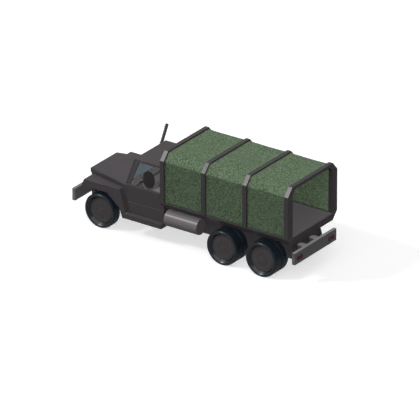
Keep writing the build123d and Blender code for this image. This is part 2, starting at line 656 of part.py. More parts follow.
def steering_point(distance):
    """A point on the column's axis; positive is towards the driver."""
    tilt = math.radians(COLUMN_TILT)
    x = COWL_X - STEERING_SETBACK - distance * math.cos(tilt)
    return (x, STEERING_Y, STEERING_Z + distance * math.sin(tilt))


def steering_wheel():
    """Round rim with a solid web."""
    tilt = math.radians(COLUMN_TILT)
    plane = Plane(origin=steering_point(0), z_dir=(-math.cos(tilt), 0, math.sin(tilt)))
    rim = plane * Torus(STEERING_R - STEERING_RIM_R, STEERING_RIM_R)
    web = plane * Cylinder(STEERING_R - STEERING_RIM_R, STEERING_WEB)
    hub = plane * Cylinder(STEERING_HUB_R, 2 * STEERING_RIM_R)
    return rim + web + hub


def seats():
    """Two seats: a cushion and a leaning backrest each."""
    front = COWL_X - SEAT_FRONT_SETBACK
    rear = front - SEAT_DEPTH
    side = (SEAT_Y - SEAT_WIDTH / 2, SEAT_Y + SEAT_WIDTH / 2)
    cushion = box((rear, front), side, (CUSHION_Z[0] + SEAT_CLEAR, CUSHION_Z[1]))
    lean = math.tan(math.radians(BACKREST_LEAN)) * (BACKREST_TOP_Z - CUSHION_Z[0])
    foot, top = CUSHION_Z[0] + SEAT_CLEAR, BACKREST_TOP_Z
    back = prism([(rear - SEAT_CLEAR, foot), (rear - SEAT_CLEAR - lean, top),
                  (rear - SEAT_CLEAR - lean - BACKREST_THICK, top),
                  (rear - SEAT_CLEAR - BACKREST_THICK, foot)], "y", *side)
    return both(cushion) + both(back)


# ---- nose ------------------------------------------------------------------------------------
SHELL_FRONT_X = HOOD_NOSE_X - HOOD_THICK - MOVE_GAP
SHELL_REAR_X = SHELL_FRONT_X - SHELL_DEPTH
HOOD_TAPER = (HOOD_REAR_HALF - HOOD_FRONT_HALF) / (HOOD_NOSE_X - HOOD_REAR_X)


def hood_half(x):
    """Half width of the hood at a station."""
    return HOOD_FRONT_HALF + (HOOD_NOSE_X - x) * HOOD_TAPER


def hood():
    """Flat top that narrows to the nose, with turned-down sides and a short front lip."""
    wall = HOOD_THICK
    outside = [(HOOD_REAR_X, -HOOD_REAR_HALF), (HOOD_NOSE_X, -HOOD_FRONT_HALF),
               (HOOD_NOSE_X, HOOD_FRONT_HALF), (HOOD_REAR_X, HOOD_REAR_HALF)]
    front = HOOD_NOSE_X - wall
    rear = HOOD_REAR_X - CUT_PAST
    low = HOOD_LIP_Z - CUT_PAST
    inside = [(rear, -hood_half(HOOD_REAR_X) + wall), (front, -hood_half(front) + wall),
              (front, hood_half(front) - wall), (rear, hood_half(HOOD_REAR_X) - wall)]
    shell = prism(outside, "z", HOOD_LIP_Z, HOOD_Z) - prism(inside, "z", low, HOOD_Z - wall)
    side = HOOD_FRONT_HALF + CUT_PAST
    mouth = box((front - CUT_PAST, HOOD_NOSE_X + CUT_PAST), (-side, side), (low, HOOD_NOSE_LIP_Z))
    return shell - mouth


def front_fenders():
    """Boxed fenders: flat top, sloped nose, an open arch, and a tail down to the step."""
    face = HOOD_NOSE_X - FENDER_NOSE_GAP
    outline = [(HOOD_NOSE_X - FENDER_SLOPE, FENDER_Z), (face, FENDER_FACE_Z[1]), (face, FENDER_FACE_Z[0]),
               (face - FENDER_CHIN, FENDER_CHIN_Z), (FRONT_AXLE_X + ARCH_AHEAD, ARCH_TOP_Z),
               (FRONT_AXLE_X - ARCH_BEHIND, ARCH_TOP_Z), (COWL_X + FENDER_TAIL, FENDER_TAIL_Z),
               (COWL_X - STEP_FOOT_SETBACK, STEP_BOTTOM_Z), (COWL_X - STEP_NOSE_SETBACK, STEP_BOTTOM_Z),
               (COWL_X - STEP_NOSE_SETBACK, STEP_TOP_Z), (COWL_X + FENDER_TAIL, FENDER_Z)]
    gap = FENDER_CAB_GAP
    end = COWL_X - FENDER_SIDE_END
    plan = [(HOOD_NOSE_X, hood_half(HOOD_NOSE_X) + gap), (HOOD_NOSE_X, FENDER_HALF), (end, FENDER_HALF),
            (end, CAB_HALF + gap), (HOOD_REAR_X + gap, CAB_HALF + gap),
            (HOOD_REAR_X + gap, HOOD_REAR_HALF + gap)]
    solid = prism(outline, "y", 0, FENDER_HALF) & prism(plan, "z", STEP_BOTTOM_Z, FENDER_Z)
    step_end = box((end, COWL_X), (0, STEP_HALF), (STEP_BOTTOM_Z, STEP_TOP_Z))
    return both(solid - step_end)


def inner_fenders():
    """Inner walls of the front wheel arches, each with its shelf out to the fender."""
    out = INNER_WALL_Y + INNER_WALL_THICK
    wall = box((COWL_X, SHELL_REAR_X), (INNER_WALL_Y, out), (INNER_WALL_BOTTOM_Z, FENDER_Z))
    gap = FENDER_CAB_GAP
    plan = [(SHELL_REAR_X, out), (SHELL_REAR_X, hood_half(SHELL_REAR_X) + gap),
            (HOOD_REAR_X + gap, HOOD_REAR_HALF + gap), (HOOD_REAR_X + gap, out)]
    shelf = prism(plan, "z", ARCH_TOP_Z, ARCH_TOP_Z + INNER_WALL_THICK)
    return both(wall + shelf)


def radiator_shell():
    """Upright shell with a barred grille and the radiator core behind it."""
    front, rear = SHELL_FRONT_X, SHELL_REAR_X
    half = HOOD_FRONT_HALF - HOOD_THICK - MOVE_GAP
    top = HOOD_Z - HOOD_THICK - MOVE_GAP
    shell = box((rear, front), (-half, half), (SHELL_BOTTOM_Z, top))
    opening = (half - SHELL_RIM, RAIL_TOP_Z + SHELL_RIM, top - SHELL_RIM)
    shell -= box((rear + SHELL_RIM, front + 1), (-opening[0], opening[0]), opening[1:])
    pitch = 2 * opening[0] / (GRILLE_BARS + 1)
    bar_x = (front - GRILLE_RECESS, front - GRILLE_FRONT_GAP)
    half_bar = GRILLE_BAR_WIDTH / 2
    for i in range(GRILLE_BARS):
        y = -opening[0] + pitch * (i + 1)
        shell += box(bar_x, (y - half_bar, y + half_bar), opening[1:])
    reach = RAIL_WIDTH / 2 + SHELL_RAIL_GAP
    notch = box((rear - 1, front + 1), (RAIL_Y - reach, RAIL_Y + reach),
                (RAIL_BOTTOM_Z - SHELL_RAIL_GAP, RAIL_TOP_Z + SHELL_RAIL_GAP))
    return shell - both(notch)


def headlamps():
    """Round lamps on the fender fronts."""
    face = HOOD_NOSE_X - FENDER_NOSE_GAP
    lamp = rod((face, HEADLAMP_Y, HEADLAMP_Z), (face + HEADLAMP_DEPTH, HEADLAMP_Y, HEADLAMP_Z), HEADLAMP_R)
    return both(lamp)


def exhaust_stack():
    """Open pipe that stands on the right fender and leans back beside the cab."""
    foot_x = COWL_X + STACK_FOOT_AHEAD
    rise = STACK_TOP_Z - FENDER_Z
    top_x = foot_x - rise * math.tan(math.radians(STACK_LEAN))
    pipe = ring((foot_x, STACK_Y, FENDER_Z), (top_x, STACK_Y, STACK_TOP_Z), STACK_R, STACK_R - STACK_WALL)
    reach = 2 * STACK_R
    side = (STACK_Y - reach, STACK_Y + reach)
    return pipe - box((foot_x - reach, foot_x + reach), side, (FENDER_Z - reach, FENDER_Z))


def engine():
    """Engine block between the rails under the hood."""
    return box((COWL_X + ENGINE_SETBACK, HOOD_NOSE_X - ENGINE_NOSE_GAP), (-ENGINE_HALF, ENGINE_HALF),
               (ENGINE_BOTTOM_Z, ENGINE_TOP_Z))


def driveline():
    """Gearbox, transfer box and the propeller shafts to the three axles."""
    gearbox_x = (COWL_X - GEARBOX_SETBACK, COWL_X + ENGINE_SETBACK)
    gearbox = box(gearbox_x, (-GEARBOX_HALF, GEARBOX_HALF), (ENGINE_BOTTOM_Z, GEARBOX_TOP_Z))
    reach = TRANSFER_LENGTH / 2
    transfer = box((TRANSFER_X - reach, TRANSFER_X + reach), (-TRANSFER_HALF, TRANSFER_HALF),
                   (TRANSFER_BOTTOM_Z, RAIL_BOTTOM_Z - CROSS_DROP))
    runs = [((TRANSFER_X, 0, SHAFT_Z), (gearbox_x[0] + MOVE_GAP, 0, ENGINE_BOTTOM_Z + GEARBOX_SHAFT_RISE)),
            ((TRANSFER_X, 0, SHAFT_Z), (FRONT_AXLE_X, 0, AXLE_Z)),
            ((TRANSFER_X, 0, SHAFT_Z), (MID_AXLE_X, 0, AXLE_Z)),
            ((MID_AXLE_X, 0, AXLE_Z), (REAR_AXLE_X, 0, AXLE_Z))]
    shafts = Part()
    for start, end in runs:
        shafts += rod(start, end, SHAFT_R)
    for x in (FRONT_AXLE_X, MID_AXLE_X, REAR_AXLE_X):
        shafts -= across(x, (-DIFF_R, DIFF_R), AXLE_Z, DIFF_R)
    return gearbox + transfer + shafts


# ---- axles and springs -----------------------------------------------------------------------
def front_axle():
    """Steering axle: tube, differential and a yoke at each end."""
    low = KNUCKLE_HALF + MOVE_GAP
    high = low + YOKE_LUG
    half = YOKE_WIDTH / 2
    x = (FRONT_AXLE_X - half, FRONT_AXLE_X + half)
    root = KINGPIN_Y - YOKE_DEPTH
    throat = KINGPIN_Y - YOKE_THROAT
    end = KINGPIN_Y + YOKE_REACH
    axle = across(FRONT_AXLE_X, (-throat, throat), AXLE_Z, AXLE_TUBE_R)
    axle += across(FRONT_AXLE_X, (-FRONT_DIFF_HALF, FRONT_DIFF_HALF), AXLE_Z, DIFF_R)
    yoke = box(x, (root, end), (AXLE_Z - high, AXLE_Z + high))
    yoke -= box(x, (throat, end), (AXLE_Z - low, AXLE_Z + low))
    yoke -= rod((FRONT_AXLE_X, KINGPIN_Y, AXLE_Z - high), (FRONT_AXLE_X, KINGPIN_Y, AXLE_Z + high),
                KINGPIN_R + RUNNING_FIT)
    return axle + both(yoke)


def arm_end():
    """Where the left steering arm meets the tie rod."""
    return (FRONT_AXLE_X - STEER_ARM, KINGPIN_Y)


def knuckle():
    """Left knuckle: kingpin, spindle for the wheel, and the arm to the tie rod."""
    lug_high = KNUCKLE_HALF + MOVE_GAP + YOKE_LUG
    at = (FRONT_AXLE_X, KINGPIN_Y)
    body = rod((*at, AXLE_Z - KNUCKLE_HALF), (*at, AXLE_Z + KNUCKLE_HALF), KNUCKLE_R)
    body += rod((*at, AXLE_Z - lug_high), (*at, AXLE_Z + lug_high), KINGPIN_R)
    body += across(FRONT_AXLE_X, (KINGPIN_Y, KINGPIN_Y + KNUCKLE_REACH), AXLE_Z, KNUCKLE_FLANGE_R)
    body += across(FRONT_AXLE_X, (KINGPIN_Y, FRONT_TYRE_Y + SPINDLE_REACH), AXLE_Z, SPINDLE_R)
    end = arm_end()
    half = STEER_ARM_HALF
    arm_z = (AXLE_Z - KNUCKLE_HALF, AXLE_Z - KNUCKLE_HALF + STEER_ARM_THICK)
    arm = prism([(at[0] + half, at[1] - half), (at[0] + half, at[1] + half), (end[0] - half, end[1] + half),
                 (end[0] - half, end[1] - half)], "z", *arm_z)
    return body + arm + rod((*end, TIE_ROD_Z - TIE_EYE_HALF), (*end, arm_z[0]), TIE_PIN_R)


def tie_rod():
    """Rod behind the axle from arm to arm."""
    x, y = arm_end()
    bar = across(x, (-y, y), TIE_ROD_Z, TIE_ROD_R)
    low, high = TIE_ROD_Z - TIE_EYE_HALF, TIE_ROD_Z + TIE_EYE_HALF
    for side, play in ((1, RUNNING_FIT), (-1, TIE_OPEN_PLAY)):
        bar += rod((x, side * y, low), (x, side * y, high), TIE_EYE_R)
        bar -= rod((x, side * y, low - 1), (x, side * y, high + 1), TIE_PIN_R + play)
    return bar


def wheel_disc(y, face):
    """Wheel of one tyre, left side: rim band and a disc whose outside is at face."""
    rim = ring((0, 2 * y - face, 0), (0, face, 0), WHEEL_R, WHEEL_R - RIM_WALL)
    return rim + rod((0, face - DISC_THICK, 0), (0, face, 0), WHEEL_R - RIM_WALL / 2)


def front_wheel():
    """Left front wheel about its own axis: rim, disc, brake drum and hub."""
    face = FRONT_TYRE_Y + TYRE_WIDTH / 2 - DISC_RECESS
    hub_in = KINGPIN_Y + KNUCKLE_REACH + MOVE_GAP
    drum = ring((0, hub_in + MOVE_GAP, 0), (0, face, 0), DRUM_R, DRUM_R - DRUM_WALL)
    wheel = wheel_disc(FRONT_TYRE_Y, face) + drum
    wheel += rod((0, hub_in, 0), (0, face + HUB_PROUD, 0), HUB_R)
    bore_end = FRONT_TYRE_Y + SPINDLE_REACH + MOVE_GAP
    return wheel - rod((0, hub_in, 0), (0, bore_end, 0), SPINDLE_R + RUNNING_FIT)


def rear_wheel():
    """Left pair of rear wheels about their own axis."""
    face = OUTER_TYRE_Y + TYRE_WIDTH / 2 - DISC_RECESS
    inner_face = INNER_TYRE_Y + TYRE_WIDTH / 2 - DISC_RECESS
    hub_in = inner_face - DRUM_DEPTH
    wheel = wheel_disc(OUTER_TYRE_Y, face) + wheel_disc(INNER_TYRE_Y, inner_face)
    wheel += rod((0, hub_in, 0), (0, inner_face, 0), DRUM_R)
    wheel += rod((0, hub_in, 0), (0, face + REAR_HUB_PROUD, 0), HUB_R)
    return wheel - rod((0, hub_in, 0), (0, face - STUB_END + MOVE_GAP, 0), SPINDLE_R + RUNNING_FIT)


def faceted_ring(profile, sides):
    """A ring round the Y axis made of flat sides, one of them level at the bottom.

    The closed profile holds (y, radius); each radius is to the middle of a flat side."""
    turn = 2 * math.pi / sides
    edges = list(zip(profile, profile[1:] + profile[:1]))
    faces = []
    for i in range(sides):
        spokes = [((i + end) * turn, 1 / math.cos(turn / 2)) for end in (-0.5, 0.5)]
        for (y0, r0), (y1, r1) in edges:
            low = [(r0 * far * math.sin(angle), y0, -r0 * far * math.cos(angle)) for angle, far in spokes]
            high = [(r1 * far * math.sin(angle), y1, -r1 * far * math.cos(angle)) for angle, far in spokes]
            faces.append(make_face(Polyline(*low, *high[::-1], close=True)))
    return Solid(Shell(faces))


def tyre(y):
    """Tyre round its own axis with its middle at y: tread, two shoulders and two sloped sides."""
    half = TYRE_WIDTH / 2
    left = [(half - DISC_RECESS, WHEEL_R + BEAD_GAP), (half, TYRE_R - SHOULDER_DROP),
            (half - SHOULDER_WIDTH, TYRE_R)]
    profile = [(y + a, r) for a, r in left] + [(y - a, r) for a, r in left[::-1]]
    return faceted_ring(profile, TYRE_SIDES)


def rear_axles():
    """Two driven axles with their differentials."""
    stub = OUTER_TYRE_Y + TYRE_WIDTH / 2 - DISC_RECESS - STUB_END
    tube = INNER_TYRE_Y + TYRE_WIDTH / 2 - DISC_RECESS - DRUM_DEPTH - MOVE_GAP
    axles = Part()
    for x in (REAR_AXLE_X, MID_AXLE_X):
        for reach, radius in ((tube, AXLE_TUBE_R), (stub, SPINDLE_R), (REAR_DIFF_HALF, DIFF_R)):
            axles += across(x, (-reach, reach), AXLE_Z, radius)
    return axles


def leaf_springs():
    """Front springs on the axle and the bogie's springs under their stools."""
    side = (RAIL_Y - SPRING_WIDTH / 2, RAIL_Y + SPRING_WIDTH / 2)
    pad, thick = SPRING_PAD_Z, SPRING_THICK
    ends = SPRING_HALF + SPRING_EYE
    eye = pad + SPRING_RISE
    shoulder = (ends / 2, pad + thick + SPRING_CROWN)
    right_half = [(0, pad + thick), shoulder, (ends, eye + thick), (ends, eye), (SPRING_CLAMP, pad)]
    front = right_half + [(-x, z) for x, z in right_half[:0:-1]]
    springs = both(prism([(FRONT_AXLE_X + x, z) for x, z in front], "y", *side))
    reach = TANDEM / 2
    top = AXLE_Z + 2 * AXLE_TUBE_R
    right_half = [(0, top - BOGIE_DEPTH), (reach - BOGIE_PAD, pad), (reach + BOGIE_PAD, pad),
                  (reach + BOGIE_PAD, pad + BOGIE_LEAF), (BOGIE_SADDLE, top)]
    rear = right_half + [(-x, z) for x, z in right_half[:0:-1]]
    return springs + both(prism([(BOGIE_X + x, z) for x, z in rear], "y", *side))


def main():
    os.makedirs("parts", exist_ok=True)
    nodes = {
        "chassis_rails": chassis_rails(),
        "chassis_cross_members": chassis_cross_members(),
        "chassis_skirts": chassis_skirts(),
        "front_bumper": front_bumper(),
        "rear_bumper": rear_bumper(),
        "tail_lamps": tail_lamps(),
        "fuel_tanks": fuel_tanks(),
        "bed_rails": bed_rails(),
        "bed_bearers": bed_bearers(),
        "bed_floor": bed_floor(),
        "cargo_bows": cargo_bows(),
        "headboard": headboard(),
        "canvas_cover": canvas_cover(),
        "cab_floor": cab_floor(),
        "cowl": cowl(),
        "cab_back": cab_back(),
        "cab_roof": cab_roof(),
        "windows": windows(),
        "dashboard": dashboard(),
        "steering_wheel": steering_wheel(),
        "seats": seats(),
        "hood": hood(),
        "front_fenders": front_fenders(),
        "inner_fenders": inner_fenders(),
        "radiator_shell": radiator_shell(),
        "headlamps": headlamps(),
        "exhaust_stack": exhaust_stack(),
        "engine": engine(),
        "driveline": driveline(),
        "front_axle": front_axle(),
        "rear_axles": rear_axles(),
        "leaf_springs": leaf_springs(),
        "tie_rod": tie_rod(),
    }
    left = {"door": door(), "knuckle": knuckle()}
    for name, shape in left.items():
        nodes[f"{name}_left"] = shape
        nodes[f"{name}_right"] = right(shape)
    front_tyre = tyre(FRONT_TYRE_Y)
    rear_tyres = tyre(OUTER_TYRE_Y) + tyre(INNER_TYRE_Y)
    places = [("front", FRONT_AXLE_X, front_wheel(), front_tyre),
              ("mid", MID_AXLE_X, rear_wheel(), rear_tyres),
              ("rear", REAR_AXLE_X, rear_wheel(), rear_tyres)]
    for place, x, wheel, rubber in places:
        for kind, shape in (("wheel", wheel), ("tyre", rubber)):
            moved = Pos(x, 0, AXLE_Z) * shape
            nodes[f"{kind}_{place}_left"] = moved
            nodes[f"{kind}_{place}_right"] = right(moved)
    for name, shape in nodes.items():
        save(name, shape)


main()
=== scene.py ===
"""Looks of a six-wheel-drive cargo truck: paint, canvas, tyres, seats, lamps and small fittings.

Metres, in the CAD's own frame: +X forward, +Y the truck's left, +Z up, origin on the ground.
"""
import math

import bmesh
import bpy
from mathutils import Matrix, Vector, noise
from mathutils.bvhtree import BVHTree


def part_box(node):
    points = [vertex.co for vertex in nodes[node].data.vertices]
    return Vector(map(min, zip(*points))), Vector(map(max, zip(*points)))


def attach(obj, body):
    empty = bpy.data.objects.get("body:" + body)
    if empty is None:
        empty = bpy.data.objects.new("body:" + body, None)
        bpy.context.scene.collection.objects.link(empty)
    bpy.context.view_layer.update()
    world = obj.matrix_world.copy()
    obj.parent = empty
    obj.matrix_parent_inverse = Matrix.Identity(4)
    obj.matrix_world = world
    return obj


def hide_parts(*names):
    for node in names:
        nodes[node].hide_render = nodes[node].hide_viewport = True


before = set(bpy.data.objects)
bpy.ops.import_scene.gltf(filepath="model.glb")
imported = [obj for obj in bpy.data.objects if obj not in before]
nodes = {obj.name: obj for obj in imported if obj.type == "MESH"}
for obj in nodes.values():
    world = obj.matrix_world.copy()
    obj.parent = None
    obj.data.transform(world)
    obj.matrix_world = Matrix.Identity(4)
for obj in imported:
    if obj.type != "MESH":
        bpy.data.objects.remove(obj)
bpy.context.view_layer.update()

SIDES = (("left", 1), ("right", -1))
SIGNS = (1, -1)
AXLES = ("front", "mid", "rear")


# ---- materials ----
def srgb(*levels):
    """An 8-bit sRGB colour as linear RGBA."""
    parts = [level / 255 for level in levels]
    return tuple(c / 12.92 if c < 0.04 else ((c + 0.055) / 1.055) ** 2.4 for c in parts) + (1.0,)


def shade(colour, factor):
    """A linear colour made darker or lighter."""
    return tuple(c * factor for c in colour[:3]) + (1.0,)


def add_node(tree, kind, inputs=None, **settings):
    """Adds a node and gives its outputs; inputs holds plain values and other nodes' outputs."""
    node = tree.nodes.new("ShaderNode" + kind)
    for key, value in settings.items():
        setattr(node, key, value)
    for key, value in (inputs or {}).items():
        if isinstance(value, bpy.types.NodeSocket):
            tree.links.new(value, node.inputs[key])
        else:
            node.inputs[key].default_value = value
    return node.outputs


class Finish:
    """A Principled material with its textures laid in the object's own metres."""

    def __init__(self, name, roughness, specular=0.5, more=None):
        self.material = bpy.data.materials.new(name)
        self.material.use_nodes = True
        self.tree = self.material.node_tree
        self.shader = self.tree.nodes["Principled BSDF"]
        for key, value in {"Roughness": roughness, "Specular IOR Level": specular, **(more or {})}.items():
            self.shader.inputs[key].default_value = value
        self.place = self.add("TexCoord")["Object"]
        self.relief = None

    def add(self, kind, inputs=None, **settings):
        return add_node(self.tree, kind, inputs, **settings)

    def feed(self, name, output):
        self.tree.links.new(output, self.shader.inputs[name])

    def colour(self, output):
        self.feed("Base Color", output)

    def rough(self, output):
        self.feed("Roughness", output)

    def noise(self, scale, detail=2.0, roughness=0.5, stretch=(1, 1, 1)):
        """Soft noise of about scale grains to the metre, with its octaves and their strength."""
        place = self.add("Mapping", {"Vector": self.place, "Scale": stretch})["Vector"]
        inputs = {"Vector": place, "Scale": scale, "Detail": detail, "Roughness": roughness}
        return self.add("TexNoise", inputs)["Fac"]

    def cells(self, scale, output="Distance"):
        """Distance to the nearest of about scale points to the metre, or a colour for each."""
        return self.add("TexVoronoi", {"Vector": self.place, "Scale": scale})[output]

    def flecks(self, scale):
        """A random level for each of about scale grains to the metre."""
        return self.add("SeparateColor", {"Color": self.cells(scale, "Color")})["Red"]

    def weave(self, count, direction):
        """Parallel threads, count of them to the metre."""
        inputs = {"Vector": self.place, "Scale": count * math.pi / 10}
        return self.add("TexWave", inputs, bands_direction=direction)["Fac"]

    def ramp(self, factor, *stops):
        """Colours along a factor; each stop is a position and a colour."""
        colour = self.add("ValToRGB", {"Fac": factor})["Color"]
        band = colour.node.color_ramp
        while len(band.elements) < len(stops):
            band.elements.new(1.0)
        for element, stop in zip(band.elements, stops):
            element.position, element.color = stop
        return colour

    def mottled(self, factor, colour, dark, light):
        """A colour whose level goes from dark to light along a factor."""
        return self.ramp(factor, (0.3, shade(colour, dark)), (0.7, shade(colour, light)))

    def mask(self, factor, low, high):
        """0 below low, 1 above high."""
        inputs = {"Value": factor, "From Min": low, "From Max": high}
        return self.add("MapRange", inputs)["Result"]

    def height(self, low, high):
        """0 below one height above the ground, 1 above the other."""
        return self.mask(self.add("SeparateXYZ", {"Vector": self.place})["Z"], low, high)

    def plus(self, first, second, operation="ADD"):
        """A sum; each part may be an output or a plain number."""
        return self.add("Math", {0: first, 1: second}, operation=operation)["Value"]

    def times(self, first, second):
        return self.plus(first, second, "MULTIPLY")

    def blend(self, factor, first, second, mode="MIX"):
        """Colours mixed by a factor; each may be an output or a plain colour."""
        inputs = {0: factor, 6: first, 7: second}
        return self.add("Mix", inputs, data_type="RGBA", blend_type=mode)[2]

    def bump(self, height, depth, strength):
        """Adds relief of a depth in metres."""
        inputs = {"Height": height, "Distance": depth, "Strength": strength}
        if self.relief:
            inputs["Normal"] = self.relief
        self.relief = self.add("Bump", inputs)["Normal"]
        self.feed("Normal", self.relief)


ROAD_DUST = srgb(96, 89, 80)
TYRE_DUST = srgb(50, 55, 58)
BARE_STEEL = srgb(128, 124, 120)
RUST = srgb(96, 66, 48)
SIDE_SHADE_Z = (2.71, 2.76)  # across these heights the canvas goes from painted shade on the sides below to its plain tone on the top


def paint(name, colour, dust=0.25, worn=0.0, roughness=0.46, specular=0.035, orange_peel=0.35):
    """Matt vehicle paint: faint mottling, road dust low down, rubbed through where it is worn."""
    finish = Finish(name, roughness, specular)
    cloudy = finish.noise(1.7, 5)
    tone = finish.ramp(cloudy, (0.25, shade(colour, 0.94)), (0.75, shade(colour, 1.06)))
    streaks = finish.noise(9, 4, stretch=(1, 1, 0.25))
    film = finish.times(finish.height(1.3, 0.3), finish.mask(streaks, 0.35, 0.75))
    tone = finish.blend(finish.times(film, dust), tone, ROAD_DUST)
    if worn:
        chips = finish.mask(finish.noise(34, 6, 0.7), 0.62 - worn / 4, 0.66 - worn / 8)
        tone = finish.blend(finish.times(chips, worn), tone, BARE_STEEL)
    finish.colour(tone)
    finish.rough(finish.plus(finish.times(cloudy, 0.16), roughness - 0.08))
    finish.bump(finish.noise(210), 0.0004, orange_peel)
    finish.bump(finish.noise(3.2), 0.002, orange_peel / 2)
    return finish.material


def canvas(name, light, dark, seed, side_shade=1.0):
    """Coarse proofed canvas: mottled greens, slubs, a plain weave and a faint sheen.

    The sides below the shoulder are painted darker than the top, a painted shade whose depth the last
    argument gives.
    """
    finish = Finish(name, 0.9, 0.08, {"Sheen Weight": 0.05, "Sheen Roughness": 0.5})
    slubs = finish.noise(46, 3, 0.6, stretch=(1, 1, 1.6))
    blotches = finish.noise(34 + seed, 5, 0.75)
    grain = finish.plus(finish.times(blotches, 0.62), finish.times(finish.flecks(37 + seed), 0.38))
    middle = tuple((a + b) / 2 for a, b in zip(light, dark))
    tone = finish.ramp(grain, (0.30, dark), (0.5, middle), (0.70, light))
    faded = finish.mask(finish.noise(1.3, 3), 0.45, 0.8)
    tone = finish.blend(finish.times(faded, 0.25), tone, shade(middle, 1.2))
    # painted shade: 1 on the sides below the shoulder, 0 on the top
    below = finish.height(SIDE_SHADE_Z[1], SIDE_SHADE_Z[0])
    tone = finish.blend(below, tone, (side_shade, side_shade, side_shade, 1.0), mode="MULTIPLY")
    finish.colour(tone)
    finish.bump(finish.plus(finish.weave(420, "X"), finish.weave(420, "Z")), 0.0005, 0.4)
    finish.bump(slubs, 0.003, 0.25)
    return finish.material


def rubber(name, colour, roughness, specular):
    """Tyre rubber: dusty in its hollows, with faint moulding marks."""
    finish = Finish(name, roughness, specular)
    dusty = finish.times(finish.mask(finish.noise(7, 5, 0.65), 0.5, 0.85), 0.12)
    finish.colour(finish.blend(dusty, colour, TYRE_DUST))
    finish.rough(finish.plus(dusty, roughness))
    finish.bump(finish.noise(160, 3), 0.0003, 0.3)
    return finish.material


def brushed(name, colour, roughness, metallic, specular=0.5):
    """Worn bare or galvanised metal, drawn along the truck."""
    finish = Finish(name, roughness, specular, {"Metallic": metallic})
    lines = finish.noise(12, 5, 0.6, stretch=(1, 14, 14))
    stains = finish.times(finish.mask(finish.noise(5, 6, 0.7), 0.58, 0.8), 0.35)
    tone = finish.mottled(lines, colour, 0.9, 1.08)
    finish.colour(finish.blend(stains, tone, shade(colour, 0.6)))
    finish.rough(finish.plus(finish.times(lines, 0.2), roughness - 0.1))
    finish.bump(lines, 0.0005, 0.25)
    return finish.material


def chequered(name, colour):
    """Bumper steel: grey paint over a fine pressed pattern, chipped in places."""
    finish = Finish(name, 0.55, 0.06)
    studs = finish.cells(34)
    specks = finish.noise(60, 4, 0.7)
    tone = finish.ramp(specks, (0.32, shade(colour, 0.8)), (0.5, colour), (0.7, shade(colour, 1.22)))
    finish.colour(tone)
    finish.bump(finish.mask(studs, 0.45, 0.2), 0.0025, 0.5)
    finish.bump(specks, 0.001, 0.3)
    return finish.material


def glass(name, colour, milky=0.0):
    """A tinted pane with a film of dust; milky is how much light it scatters within."""
    finish = Finish(name, 0.08, more={"Alpha": 0.97, "Subsurface Weight": milky, "Subsurface Scale": 0.1,
                                      "Subsurface Radius": (0.8, 0.9, 1.0)})
    film = finish.noise(3, 4)
    finish.colour(finish.mottled(film, colour, 0.95, 1.05))
    finish.rough(finish.plus(finish.times(film, 0.12), 0.04))
    return finish.material


def lens(name, colour, roughness):
    """Moulded lamp lens with fine vertical flutes."""
    finish = Finish(name, roughness, 0.06)
    finish.colour(finish.mottled(finish.noise(30), colour, 0.85, 1.15))
    finish.bump(finish.weave(120, "Y"), 0.0015, 0.5)
    return finish.material


def cloth(name, colour):
    """Woven seat cover, rubbed lighter in patches."""
    finish = Finish(name, 0.85, 0.2, {"Sheen Weight": 0.25})
    finish.colour(finish.mottled(finish.noise(6, 5), colour, 0.85, 1.12))
    finish.bump(finish.plus(finish.weave(300, "X"), finish.weave(300, "Y")), 0.0006, 0.5)
    return finish.material


def plastic(name, colour, roughness=0.5):
    """Moulded plastic or rubber trim with a fine leather-like grain."""
    finish = Finish(name, roughness, 0.35)
    finish.colour(finish.mottled(finish.noise(14, 3), colour, 0.9, 1.1))
    finish.bump(finish.cells(320), 0.0005, 0.4)
    return finish.material


def rusty(name, colour, heat):
    """Cast or welded iron with rust in patches and a scorched tint."""
    finish = Finish(name, 0.62, more={"Metallic": 0.35})
    patch = finish.mask(finish.noise(16, 7, 0.7), 0.48, 0.7)
    finish.colour(finish.blend(finish.times(patch, heat), colour, RUST))
    finish.bump(finish.noise(90, 4), 0.0012, 0.5)
    return finish.material


BODY = srgb(79, 75, 78)
PAINT = paint("body_paint", BODY)
PAINT_EDGE = paint("body_paint_edge", shade(BODY, 1.08), worn=0.35)
SMOOTH = {"dust": 0.0, "roughness": 0.24, "specular": 0.02, "orange_peel": 0.05}
BOW_PAINT = paint("bow_paint", shade(BODY, 0.97), **SMOOTH)
BOW_EDGE = paint("bow_paint_edge", shade(BODY, 1.08), **SMOOTH)
CHASSIS = paint("chassis_paint", srgb(66, 62, 63), dust=0.4)
CHASSIS_EDGE = paint("chassis_paint_edge", srgb(70, 66, 67), dust=0.3, worn=0.3)
# body paint made lighter in the wheel arches to make up for their shade: painted light
ARCH_PAINTED_LIGHT = paint("arch_painted_light", srgb(100, 95, 97), dust=0.3)
# body paint made lighter on the skirts to make up for the shade under the bed: painted light
SKIRT_PAINTED_LIGHT = paint("skirt_painted_light", srgb(84, 80, 82), dust=0.3)
# a pale copy put on the cab's inward faces in place of the body paint, to make up for the shade inside the
# cab: painted light
INSIDE_PAINTED_LIGHT = plastic("cab_inside_painted_light", srgb(176, 176, 175), 0.7)
MAT = plastic("floor_mat", srgb(104, 102, 101), 0.8)
# body paint made lighter on the deck to make up for the shade in the load space: painted light; its worn
# patches are real wear
DECK_PAINTED_LIGHT = paint("deck_painted_light", srgb(103, 99, 102), dust=0.0, worn=0.12, roughness=0.6)
# its sides are painted darker than its top: painted shade
CANVAS = canvas("canvas", srgb(120, 142, 112), srgb(62, 76, 58), 0, side_shade=0.84)
# the inside canvas is paler than the outside to make up for the shade in the load space: painted light
LINING = canvas("canvas_inside_painted_light", srgb(146, 171, 136), srgb(79, 97, 75), 3)
BUMPER = chequered("bumper_steel", srgb(106, 106, 108))
# the bumper steel made lighter at the front to make up for the fender's shade over it: painted light
FRONT_BUMPER_PAINTED_LIGHT = chequered("front_bumper_painted_light", srgb(124, 124, 126))
